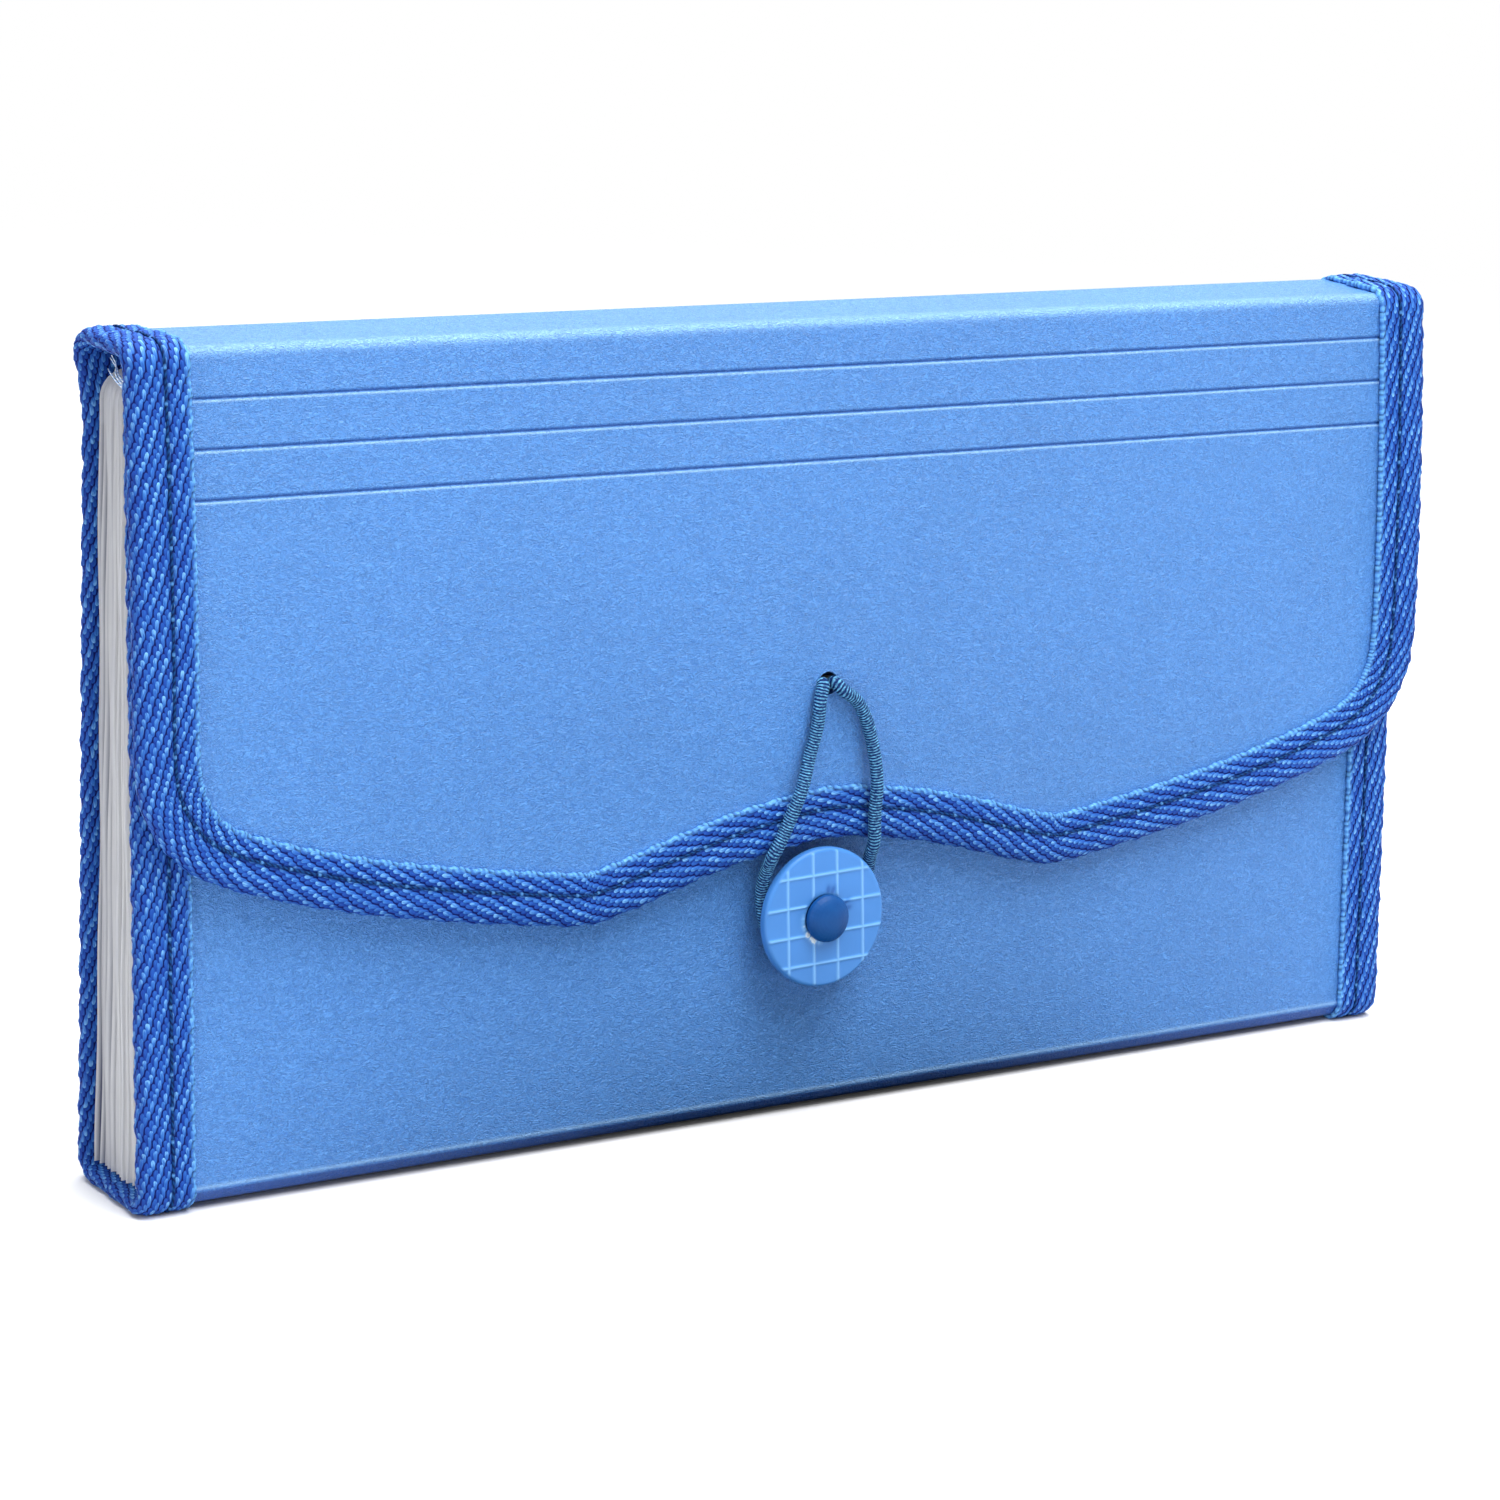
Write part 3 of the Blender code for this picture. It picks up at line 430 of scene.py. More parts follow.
def thicken(work, outer_point, outward):
    """Turns the sheet's faces out and adds its thickness behind them."""
    nearest = min(work.faces, key=lambda face: (face.calc_center_median() - outer_point).length)
    if nearest.normal.dot(outward) < 0:
        bmesh.ops.reverse_faces(work, faces=work.faces)
    bmesh.ops.solidify(work, geom=work.faces[:], thickness=SHEET)
    bmesh.ops.recalc_face_normals(work, faces=work.faces)


STRIP_FRONT = Vector((0, CREASE.y + CREASE_INSET, STRIP_BOTTOM))
STRIP_BACK = Vector((0, BACK_FOLD.y - CREASE_INSET, STRIP_BOTTOM))
BACK_CREASE = Vector((0, BACK_FOLD.y, CREASE.z))
CREASE_ROUNDS = (SHEET_ROUNDS["crease"],) * 2
PANEL_MIDDLE = 0.06

front_corners = (MIDDLE_BASE, STRIP_FRONT, CREASE, FRONT_TOP)
back_corners = (MIDDLE_BASE, STRIP_BACK, BACK_CREASE, BACK_FOLD, MIDDLE_ROOF)
flap_corners = (MIDDLE_ROOF, MAIN_FOLD, FLAP_END)

stops, line = bends_kept(*folded(front_corners, CREASE_ROUNDS, SHEET_STEP))
mesh, work = sheet_length("cover_front", -stops, line, np.full(len(stops), SHEET_HALF), base_crease(line, CREASE))
thicken(work, Vector((0, CREASE.y, PANEL_MIDDLE)), OUT)
cover_front = finished(mesh, work, polypropylene)
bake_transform(cover_front)
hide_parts("front_panel", "base_strip")

stops, line = bends_kept(*folded(back_corners, (*CREASE_ROUNDS, SHEET_ROUNDS["back"]), SHEET_STEP))
roof_stop = stops[-1]
mesh, work = sheet_length("cover_back", stops, line, half_width(line[:, 1], SHEET_HALF, FLAP_SHEET_HALF),
                          base_crease(line, BACK_CREASE))
thicken(work, Vector((0, BACK_FOLD.y, PANEL_MIDDLE)), Vector((0, 1, 0)))
cover_back = finished(mesh, work, polypropylene)
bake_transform(cover_back)
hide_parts("back_panel", "base_strip", "roof_strip")


def flap_edge_line(step):
    """The flap's bound edge as (x, distance down the flap), from its left side round the hem to its right side."""
    half = [(across * FLAP_HALF, down * FLAP_LENGTH) for across, down in FLAP_EDGE_SHARES]
    return smooth_line([(-x, down) for x, down in half[:0:-1]] + half, step)[1]


def bow(down):
    """How far the flap stands out where it arches a little between its fold and its hem."""
    return FLAP_BOW * np.sin(math.pi * np.clip(down / FLAP_LENGTH, 0, 1))


def flap_sheet():
    """The front of the roof and the flap: folded at the main fold, scored, cut along the hem, pierced for the loop."""
    stops, line, normals = folded(flap_corners, (SHEET_ROUNDS["main"],), SCORE_STEP)
    to_flap = stops[-1] - FLAP_REACH
    down = stops - to_flap
    scores = SCORE_PITCH * np.arange(1, SCORE_COUNT + 1)
    away = np.min(np.abs(down[:, None] - scores), axis=1) / SCORE_HALF
    keep = [0]
    for index in range(1, len(stops)):
        near_fold = abs(down[index]) < FOLD_FINE and index % 2 == 0
        if away[index] < 3 or near_fold or stops[index] - stops[keep[-1]] > STRAIGHT_STEP:
            keep.append(index)
    keep = [index for index in keep if down[index] < scores[-1] + SCORES_END]
    down, line, normals, away = down[keep], line[keep], normals[keep], away[keep]
    groove = SCORE_DEPTH * np.clip(1 - away ** 2, 0, 1) - SCORE_LIP * bump_at(away, 1.5, 0.35)
    # Painted highlight along the main fold, and at each score painted shade in its line with a painted highlight just
    # below it
    crease = 0.35 * bump_at(down, 0.0002, 0.0011)
    for score in scores:
        crease += 0.65 * bump_at(down - score, SCORE_HIGHLIGHT_AT, SCORE_LINE) - 0.8 * bump_at(down, score, SCORE_LINE)
    line = line + normals * (bow(down) - groove)[:, None]

    edge = flap_edge_line(EDGE_STEP)
    way = unit(np.gradient(edge, axis=0))
    inner = edge + np.column_stack([way[:, 1], -way[:, 0]]) * HEM_INSET
    across = np.linspace(-1, 1, FLAP_COLUMNS)
    x = (np.sin(across * math.pi / 2) * 0.35 + across * 0.65) * FLAP_SHEET_HALF
    order = np.argsort(inner[:, 0])
    hem = np.interp(x, inner[order, 0], inner[order, 1])
    below = np.linspace(0, 1, HEM_ROWS)[1:, None]
    lower = down[-1] + (hem - down[-1]) * below
    down, crease, upper_y, upper_z = (np.repeat(part[:, None], len(x), axis=1) for part in (down, crease, *line.T))
    y = np.vstack([upper_y, MAIN_FOLD.y - lower * UP.y + bow(lower) * OUT.y])
    z = np.vstack([upper_z, MAIN_FOLD.z - lower * UP.z + bow(lower) * OUT.z])
    along = np.vstack([down, lower]) + to_flap + roof_stop
    mesh, work = shaped_grid("cover_flap", gridded(x, y, z), (x * 1000, along * 1000),
                             {"crease": np.vstack([crease, np.zeros(lower.shape)])})

    centre = Vector((HOLE_OFFSET, 0, 0)) + MAIN_FOLD - UP * HOLE_DROP + OUT * float(bow(HOLE_DROP))
    near = [face for face in work.faces if (face.calc_center_median() - centre).length < HOLE_PATCH]
    bmesh.ops.subdivide_edges(work, edges=list({edge for face in near for edge in face.edges}), cuts=3,
                              use_grid_fill=True)
    bmesh.ops.delete(work, geom=[face for face in work.faces
                                 if (face.calc_center_median() - centre).length < HOLE_RADIUS], context="FACES")
    rim = {vert for edge in work.edges if edge.is_boundary for vert in edge.verts
           if (vert.co - centre).length < 2 * HOLE_RADIUS}
    for vert in rim:
        vert.co = centre + (vert.co - centre).normalized() * HOLE_RADIUS
    thicken(work, MAIN_FOLD - UP * 0.05, OUT)
    return finished(mesh, work, polypropylene)


cover_flap = flap_sheet()
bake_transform(cover_flap)
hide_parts("flap_panel", "roof_strip")

# -----------------------------------------------------------------------------
# Binding: a folded royal blue polyester tape with a coarse twill weave, 9 to 10 mm showing on each face, sewn over
# the cut edges with one row of dark thread. The tape is a solid U over the sheet's edge, its weave is real relief,
# its cut edge stands proud in a row of little loops, and the thread pulls it down in a groove.
TAPE_WIDTH = 0.0095
FLAP_TAPE_WIDTH = 0.0104
HEM_TAPE_WIDTH = 0.0089
TAPE_RISE = 0.00085
TAPE_UNDER = 0.00085
BACK_START = 0.2
SIDE_HALF = FLAP_HALF - 0.0015
FLAP_TAPE_RISE = 0.00105
TAPE_ROUNDS = {"crease": 0.0032, "back": 0.0036, "main": 0.0030}
TAPE_STEP = 0.00033
CORNER_SMOOTHING = 12
FACE_COLUMNS = 38
WRAP_COLUMNS = 7
BACK_COLUMNS = 17
BEND_RADIUS = 0.0012
BEND_DROP = 0.00012
FACE_SWELL = 0.00022
RIM_SWELL = 0.00018
RIM_AT = 0.82
RIM_REACH = 0.14
INNER_FACE = 0.00005
INNER_FOLD = (-0.0018, -0.0007)
EDGE_WAVE = (0.00011, 0.00007)
EDGE_REACH = 0.0015
EDGE_SHADE = 0.0016
# The weave and the stitches in millimetres. A float's half is its half length and half width, and a layer of floats
# has its shift, in half pitches, and its level.
WALE_PITCH = 1.84
WALE_SLOPE = 0.40
FLOAT_PITCH = 1.15
FLOAT_HALF = (0.98, 0.44)
FLOAT_LAYERS = ((0.0, 1.0), (1.0, 0.60))
STITCH_LENGTH = 5.4
GROOVE_HALF = 0.50
BEAD_REACH = 0.55
# The rest in metres, shares and radians
WEAVE_DEPTH = 0.00036
BEAD_SIZE = 0.00014
SCALLOP_SIZE = 0.00016
INNER_RELIEF = 0.55
STITCH_SHARE = 0.40
GROOVE_DEPTH = 0.00035
THREAD_RADIUS = 0.00021
THREAD_TURNS = np.linspace(0, 2 * math.pi, 7)
THREAD_TWIST = 0.2
THREAD_PROUD = 0.00012


def tube(name, centre, aside, other, size, turns, uv, values=()):
    """A capped tube round a centre line. Aside and other are the ways square to it, turns the angles round it."""
    places = centre[:, None, :] + aside[:, None, :] * (np.cos(turns) * size)[:, :, None] \
        + other[:, None, :] * (np.sin(turns) * size)[:, :, None]
    return shaped_grid(name, places, uv, values, closed=True)


def eased(u, w):
    """Where the weave's threads really run: u along and w across the tape, in millimetres, pulled out of true."""
    u = u + 0.16 * np.sin(0.83 * u + 1.9 * w) + 0.10 * np.sin(2.1 * u - 1.1 * w + 1.0)
    return u, w + 0.09 * np.sin(0.61 * u + 0.4) + 0.05 * np.sin(1.7 * u + 0.9 * w)


def woven(u, w):
    """The twill's height, 0 to 1: floats lie along the tape, each a step aside of the last and tucked under it."""
    height = np.zeros_like(u)
    for shift, level in FLOAT_LAYERS:
        u_shifted, w_shifted = u - shift * FLOAT_PITCH / 2, w - shift * WALE_PITCH / 2
        for late in (0, 1):
            number = np.floor(u_shifted / FLOAT_PITCH) + late
            along = (u_shifted - number * FLOAT_PITCH) / FLOAT_HALF[0]
            aside = w_shifted - WALE_SLOPE * FLOAT_PITCH * number
            aside = (aside - WALE_PITCH * np.round(aside / WALE_PITCH)) / FLOAT_HALF[1]
            dome = np.clip(1 - np.abs(along) ** 4, 0, 1) * np.clip(1 - aside ** 2, 0, 1) ** 0.6
            height = np.maximum(height, level * dome * (0.7 - 0.3 * along))
    return height


def tape_section(rise, under_rise):
    """The tape's closed section: places across (0 at the bound edge) and out, outward ways, and distance w over it."""
    face = TAPE_WIDTH - BEND_RADIUS
    turned = face + math.pi * BEND_RADIUS
    places = [(-TAPE_WIDTH + face * share, rise + FACE_SWELL * math.sin(math.pi * share)
               + RIM_SWELL * bump_at(share, RIM_AT, RIM_REACH) - BEND_DROP * share, 0, 1, share * face)
              for share in np.linspace(0, 1, FACE_COLUMNS)]
    radius = (rise - BEND_DROP + SHEET + under_rise) / 2
    for share in np.linspace(0, 1, WRAP_COLUMNS + 2)[1:-1]:
        angle = math.pi / 2 - math.pi * share
        c, s = math.cos(angle), math.sin(angle)
        places.append((-BEND_RADIUS + BEND_RADIUS * c, rise - BEND_DROP - radius + radius * s, c, s,
                       face + share * math.pi * BEND_RADIUS))
    places += [(-BEND_RADIUS - face * share, -SHEET - under_rise, 0, -1, turned + face * share)
               for share in np.linspace(0, 1, BACK_COLUMNS)]
    places += [(across, -SHEET - INNER_FACE, 0, 0, turned + face) for across in (-TAPE_WIDTH, *INNER_FOLD)]
    places += [(across, INNER_FACE, 0, 0, 0) for across in (*INNER_FOLD[::-1], -TAPE_WIDTH)]
    places += [(-TAPE_WIDTH - 0.0001, INNER_FACE + (rise - INNER_FACE) * share, -1, 0, 0) for share in (0.35, 0.7)]
    places.append(places[0])
    return np.array(places).T


# Polyester webbing yarn, dyed royal blue: each float is a bundle of shiny filaments, royal blue along its body, with a
# painted highlight at the blunt end where it comes up and painted shade, nearly navy, in the gaps. The cut edge's
# loops carry a painted highlight in pale cyan, strongest on their tops. The thread's groove and the tape's turned
# edge carry painted shade.
def woven_polyester_tape(tree):
    place = add(tree, "UVMap", uv_map="UVMap")
    loops, groove, fold = (add(tree, "Attribute", attribute_name=label).outputs["Fac"]
                           for label in ("loops", "groove", "fold"))
    split = add(tree, "SeparateXYZ", {0: place}).outputs
    strands = add(tree, "VectorMath", {0: place, 1: (1.1, 8.0, 1)}, operation="MULTIPLY")
    fibre = add(tree, "TexNoise", {"Vector": strands, "Scale": 1.0, "Detail": 2.0})
    height, lit = 0.0, 0.0
    for (shift, level), late in product(FLOAT_LAYERS, (0.0, 1.0)):
        u = add(tree, "Math", {0: split["X"], 1: -shift * FLOAT_PITCH / 2}, operation="ADD")
        w = add(tree, "Math", {0: split["Y"], 1: -shift * WALE_PITCH / 2}, operation="ADD")
        number = add(tree, "Math", {0: u, 1: FLOAT_PITCH}, operation="DIVIDE")
        number = add(tree, "Math", {0: number}, operation="FLOOR")
        number = add(tree, "Math", {0: number, 1: late}, operation="ADD")
        along = add(tree, "Math", {0: number, 1: -FLOAT_PITCH, 2: u}, operation="MULTIPLY_ADD")
        along = add(tree, "Math", {0: along, 1: FLOAT_HALF[0]}, operation="DIVIDE")
        shifted = add(tree, "Math", {0: number, 1: -WALE_SLOPE * FLOAT_PITCH, 2: w}, operation="MULTIPLY_ADD")
        aside = add(tree, "Math", {0: shifted, 1: WALE_PITCH / 2, 2: -WALE_PITCH / 2}, operation="WRAP")
        wale = add(tree, "Math", {0: shifted, 1: aside}, operation="SUBTRACT")
        float_id = add(tree, "CombineXYZ", {0: number, 1: wale, 2: shift})
        tone = add(tree, "TexWhiteNoise", {"Vector": float_id})
        # The float narrows towards its tail, which is tucked under its neighbour
        half = add(tree, "MapRange", {"Value": along, "From Min": -0.2, "From Max": 1.0, "To Min": FLOAT_HALF[1],
                                      "To Max": FLOAT_HALF[1] * 0.6})
        aside = add(tree, "Math", {0: aside, 1: half}, operation="DIVIDE")
        side = add(tree, "Math", {0: aside, 1: aside}, operation="MULTIPLY")
        end = add(tree, "Math", {0: along, 1: 4.0}, operation="POWER")
        reach = add(tree, "Math", {0: side, 1: end}, operation="ADD")
        dome = add(tree, "MapRange", {"Value": reach, "From Min": 1.05, "From Max": 0.45, "To Max": level},
                   interpolation_type="SMOOTHSTEP")
        # Painted highlight at the float's blunt end, fading towards its tail
        tip = add(tree, "MapRange", {"Value": along, "From Min": 1.0, "From Max": -0.9, "To Min": 0.50})
        raised = add(tree, "Math", {0: dome, 1: tip}, operation="MULTIPLY")
        tone = add(tree, "MapRange", {"Value": tone, "To Min": 0.82, "To Max": 1.12})
        tinted = add(tree, "Math", {0: raised, 1: tone}, operation="MULTIPLY")
        height = add(tree, "Math", {0: height, 1: raised}, operation="MAXIMUM")
        lit = add(tree, "Math", {0: lit, 1: tinted}, operation="MAXIMUM")
    streak = add(tree, "MapRange", {"Value": fibre, "From Min": 0.25, "From Max": 0.75,
                                    "To Min": 0.72, "To Max": 1.25})
    lit = add(tree, "Math", {0: lit, 1: streak}, operation="MULTIPLY")
    # The ramp runs from the painted shade in the gaps through the floats' blue to the painted highlight at their ends
    stops = ((0.0, "001058"), (0.25, "042880"), (0.48, "1a4ca8"), (0.78, "3270c4"), (1.12, "80c0f4"))
    low, high = stops[0][0], stops[-1][0]
    scaled = add(tree, "MapRange", {"Value": lit, "From Min": low, "From Max": high})
    ramp = add(tree, "ValToRGB", {"Fac": scaled})
    elements = ramp.color_ramp.elements
    elements[0].color, elements[1].color = linear(stops[0][1]), linear(stops[-1][1])
    for position, colour in stops[1:-1]:
        elements.new((position - low) / (high - low)).color = linear(colour)
    colour = ramp
    # Painted highlight on the cut edge's loops, painted shade in the thread's groove and over the tape's turned edge
    for weight, share, shade in ((loops, 0.85, "74bcf6"), (groove, 0.55, "062a78"), (fold, 0.30, "00186c")):
        weight = add(tree, "Math", {0: weight, 1: share}, operation="MULTIPLY")
        colour = add(tree, "Mix", {0: weight, 6: colour, 7: shade}, data_type="RGBA")
    relief = add(tree, "Math", {0: fibre, 1: 0.3, 2: height}, operation="MULTIPLY_ADD")
    bump = add(tree, "Bump", {"Height": relief, "Strength": 0.9, "Distance": 0.00030})
    rough = add(tree, "MapRange", {"Value": height, "To Min": 0.8, "To Max": 0.45})
    return add(tree, "BsdfPrincipled", {"Base Color": colour, "Roughness": rough, "IOR": 1.5,
                                        "Specular IOR Level": 0.18, "Normal": bump})


# Spun polyester sewing thread, navy and matt, twisted. Where each stitch dives, a pale knot of tape yarn is pulled up.
def navy_sewing_thread(tree):
    place = add(tree, "UVMap", uv_map="UVMap")
    knot = add(tree, "Attribute", attribute_name="knot").outputs["Fac"]
    ply = add(tree, "TexWave", {"Vector": place, "Scale": 0.6, "Distortion": 1.0},
              bands_direction="DIAGONAL").outputs["Fac"]
    dark = add(tree, "Mix", {0: ply, 6: "051c4a", 7: "134580"}, data_type="RGBA")
    peak = add(tree, "MapRange", {"Value": knot, "From Min": 0.45, "From Max": 0.95, "To Max": 0.7})
    colour = add(tree, "Mix", {0: peak, 6: dark, 7: "5f9fe0"}, data_type="RGBA")
    bump = add(tree, "Bump", {"Height": ply, "Strength": 0.5, "Distance": 0.0001})
    return add(tree, "BsdfPrincipled", {"Base Color": colour, "Roughness": 0.7, "Normal": bump,
                                        "Specular IOR Level": 0.1})


woven_polyester = new_material("woven_polyester", woven_polyester_tape)
sewing_thread = new_material("sewing_thread", navy_sewing_thread)


def tape(label, edge, outward, aside, along, width, rise, under_rise):
    """A length of binding along an edge, with its two rows of thread. Outward is off the sheet, aside past it."""
    across, out, lift_across, lift_out, w = tape_section(rise, under_rise)[:, None]
    u = along[:, None] * 1000
    scale = width[:, None] / TAPE_WIDTH
    w = w * 1000 * scale
    # The tape's face has one hand all round, whichever way a length runs
    way = np.gradient(edge, axis=0)
    hand = math.copysign(1, np.einsum("ij,ij->i", np.cross(way, outward), aside).sum())
    thread_u, thread_w = eased(hand * u, w)
    height = woven(thread_u, thread_w)
    outer = np.abs(lift_across) + np.abs(lift_out) > 0
    front, behind, side = lift_out > 0.99, lift_out < -0.99, lift_across < -0.5
    loops = np.exp(-(w / BEAD_REACH) ** 2) * front + side
    bead = 0.5 + 0.5 * np.sin((thread_u / FLOAT_PITCH - 0.4 * thread_w) * 2 * math.pi)
    scallop = 0.5 + 0.5 * np.sin(thread_u * 2 * math.pi * WALE_SLOPE / WALE_PITCH)
    phase = np.mod(u / STITCH_LENGTH, 1)
    from_hole = np.minimum(phase, 1 - phase) * STITCH_LENGTH
    pull = GROOVE_DEPTH * (0.75 + 0.5 * bump_at(from_hole, 0, 0.55))
    stitch = STITCH_SHARE * width[:, None] * 1000
    from_stitch = np.where(front, w - stitch, w - w.max(axis=1, keepdims=True) + stitch)
    groove = bump_at(from_stitch, 0, GROOVE_HALF) * (front | behind)
    relief = WEAVE_DEPTH * (height - 0.5) * (1 - 0.7 * loops) - groove * pull
    relief = relief + loops * (BEAD_SIZE * (bead - 0.5) + SCALLOP_SIZE * (scallop - 0.3))
    relief = relief * np.where(behind, INNER_RELIEF, 1.0) * outer
    wave = EDGE_WAVE[0] * np.sin(u * 0.83 + 0.6 * np.sin(u * 0.23)) + EDGE_WAVE[1] * np.sin(u * 2.2)
    a = across * scale + lift_across * relief
    a = a + wave * (across > -EDGE_REACH) * outer - loops * BEAD_SIZE * (scallop - 0.5)
    b = out + lift_out * relief
    places = edge[:, None, :] + aside[:, None, :] * a[:, :, None] + outward[:, None, :] * b[:, :, None]
    # Where the holder stands on it the tape is pressed flat
    places[:, :, 2] = np.maximum(places[:, :, 2], 0)
    # Painted shade over the tape's turned outer edge
    fold = np.clip(1.2 - np.abs(across * scale) / EDGE_SHADE, 0, 1) * outer
    # The loops attribute carries the painted highlight on the cut edge's loops, strongest on their tops, and groove
    # the painted shade along the thread
    mesh, work = shaped_grid(f"tape_{label}", places, (thread_u, thread_w),
                             {"loops": np.clip(loops, 0, 1) * (0.25 + 0.75 * bead), "groove": groove, "fold": fold},
                             closed=True)
    pieces = [finished(mesh, work, woven_polyester, crisp=75)]
    knot = bump_at(from_hole, 0, 0.42)
    for facing, face in (("outer", rise + THREAD_RADIUS - pull + THREAD_PROUD),
                         ("inner", -SHEET - under_rise + INNER_RELIEF * pull - THREAD_PROUD)):
        middle = edge - aside * (width[:, None] - stitch / 1000) + outward * face
        mesh, work = tube(f"thread_{facing}_{label}", middle, aside, outward, THREAD_RADIUS * (1 + 0.5 * knot),
                          THREAD_TURNS, (u, THREAD_TURNS * THREAD_TWIST), {"knot": knot})
        pieces.append(finished(mesh, work, sewing_thread, crisp=80))
    return pieces


def side_tape(label, side, corners, rounds, start, half_at_top):
    """The binding of one side of a length of the cover, folded over the same corners."""
    stops, line, normals = folded(corners, rounds, TAPE_STEP)
    half = half_width(line[:, 1], SIDE_HALF, half_at_top)
    edge = np.column_stack([side * half, line])
    outward = np.column_stack([np.zeros(len(stops)), normals])
    aside = np.tile([side, 0.0, 0.0], (len(stops), 1))
    return tape(label, edge, outward, aside, start + stops, np.full(len(stops), TAPE_WIDTH), TAPE_RISE, TAPE_UNDER)


CREASE_TAPE_ROUNDS = (TAPE_ROUNDS["crease"],) * 2
for side, label in ((-1, "left"), (1, "right")):
    pieces = side_tape(f"front_{label}", side, front_corners, CREASE_TAPE_ROUNDS, 0.0, SIDE_HALF)
    for piece in pieces:
        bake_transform(piece)
    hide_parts(f"front_binding_{label}", f"base_binding_{label}")
    pieces = side_tape(f"back_{label}", side, back_corners, (*CREASE_TAPE_ROUNDS, TAPE_ROUNDS["back"]), BACK_START,
                       FLAP_HALF)
    for piece in pieces:
        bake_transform(piece)
    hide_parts(f"back_binding_{label}", f"base_binding_{label}", f"roof_binding_{label}")


def flap_tape():
    """The flap's binding: from the middle of the roof over the main fold, down the side, round the hem and back up."""
    hem = flap_edge_line(EDGE_STEP)
    side_end = MAIN_FOLD - UP * FLAP_EDGE_SHARES[-1][1] * FLAP_LENGTH
    stops, line, normals = folded((MIDDLE_ROOF, MAIN_FOLD, side_end), (TAPE_ROUNDS["main"],), EDGE_STEP)
    left = np.column_stack([np.full(len(stops), -FLAP_HALF), line])
    on_hem = np.column_stack([hem[:, 0], MAIN_FOLD.y - hem[:, 1] * UP.y, MAIN_FOLD.z - hem[:, 1] * UP.z])
    side_outward = np.column_stack([np.zeros(len(stops)), normals])
    route = np.vstack([left, on_hem[1:-1], left[::-1] * (-1, 1, 1)])
    outward = np.vstack([side_outward, np.tile(np.array(OUT), (len(on_hem) - 2, 1)), side_outward[::-1]])
    stops = distance_along(route)
    along = np.linspace(0, stops[-1], int(stops[-1] / TAPE_STEP) + 1)
    both = np.column_stack([np.interp(along, stops, column) for column in np.hstack([route, outward]).T])
    route, outward = both[:, :3], both[:, 3:]
    route = route + outward * bow((route - np.array(MAIN_FOLD)) @ -np.array(UP))[:, None]
    outward = unit(outward)
    aside = np.cross(outward, unit(np.gradient(route, axis=0)))
    aside = aside if aside[0, 0] < 0 else -aside
    for _ in range(CORNER_SMOOTHING):
        aside[1:-1] = (aside[:-2] + aside[1:-1] + aside[2:]) / 3
    aside = unit(aside)
    width = HEM_TAPE_WIDTH + (FLAP_TAPE_WIDTH - HEM_TAPE_WIDTH) * aside[:, 0] ** 2
    return tape("flap", route, outward, aside, along, width, FLAP_TAPE_RISE, TAPE_UNDER)


pieces = flap_tape()
for piece in pieces:
    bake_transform(piece)
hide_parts("flap_binding", "roof_binding_left", "roof_binding_right")

# -----------------------------------------------------------------------------
# Pockets: twelve sheets of thin frosted polypropylene, welded at their ends to an accordion of the same film. Each
# pleat's fold points outwards, its upper corner is rounded, and its welded valley sits on the divider's edge.
POCKET_COUNT = 13
WALL_OFFSETS = (0.0210, 0.0020)
RIDGE = 0.1244
VALLEY = 0.1154
PLEAT_FILM = 0.00016
PLEAT_FLOOR = -0.0001
PLEAT_CORNER = 0.0045
PLEAT_ROWS = 30
PLEAT_COLUMNS = 25
PLEAT_SHADE_FADE = 0.006
# The rear pleats are thin ridges with wide valleys, which carry painted shade. From pleat to pleat they fill out and
# the painted shade fades, and it fades towards the top of each pleat.
PLEATS_FILL = (1, 8)
PLEAT_FULLNESS = (0.45, 1.60)
PLEATS_SHADED = (1, 10)


# Frosted polypropylene film: milky, satin, letting a little light through, with fine vertical drawing lines from its
# extrusion. Deep in the open pleats at the back it carries painted shade, tinted navy as a painted reflection of the
# binding beside it, and lets less light through there.
def frosted_film(tree):
    place = add(tree, "TexCoord").outputs["Object"]
    drawn = add(tree, "Mapping", {"Vector": place, "Scale": (2500, 2500, 60)})
    streak = add(tree, "TexNoise", {"Vector": drawn, "Scale": 1.0, "Detail": 2.0})
    colour = add(tree, "Mix", {0: streak, 6: "e4e4e8", 7: "fffffc"}, data_type="RGBA")
    painted_valley_shade = add(tree, "Attribute", attribute_name="painted_valley_shade").outputs["Fac"]
    painted_valley_shade = add(tree, "MapRange", {"Value": painted_valley_shade, "From Min": 0.02, "From Max": 0.12})
    colour = add(tree, "Mix", {0: painted_valley_shade, 6: colour, 7: "2a3b70"}, data_type="RGBA")
    bump = add(tree, "Bump", {"Height": streak, "Strength": 0.2, "Distance": 0.0001})
    shader = add(tree, "BsdfPrincipled", {"Base Color": colour, "Roughness": 0.42, "IOR": 1.49,
                                          "Normal": bump})
    veil = add(tree, "BsdfTranslucent", {"Color": "f6f8ff"})
    thin = add(tree, "MapRange", {"Value": painted_valley_shade, "To Min": 0.2, "To Max": 0.0})
    return add(tree, "MixShader", {0: thin, 1: shader, 2: veil})


film = new_material("frosted_polypropylene_film", frosted_film)


def wall_depth(share, height):
    """How far behind the base crease a pocket wall is at a height. Share 0 is the back and 1 the front."""
    offset = WALL_OFFSETS[0] + (WALL_OFFSETS[1] - WALL_OFFSETS[0]) * share
    return offset / np.cos(LEAN * share) + height * np.tan(LEAN * share)


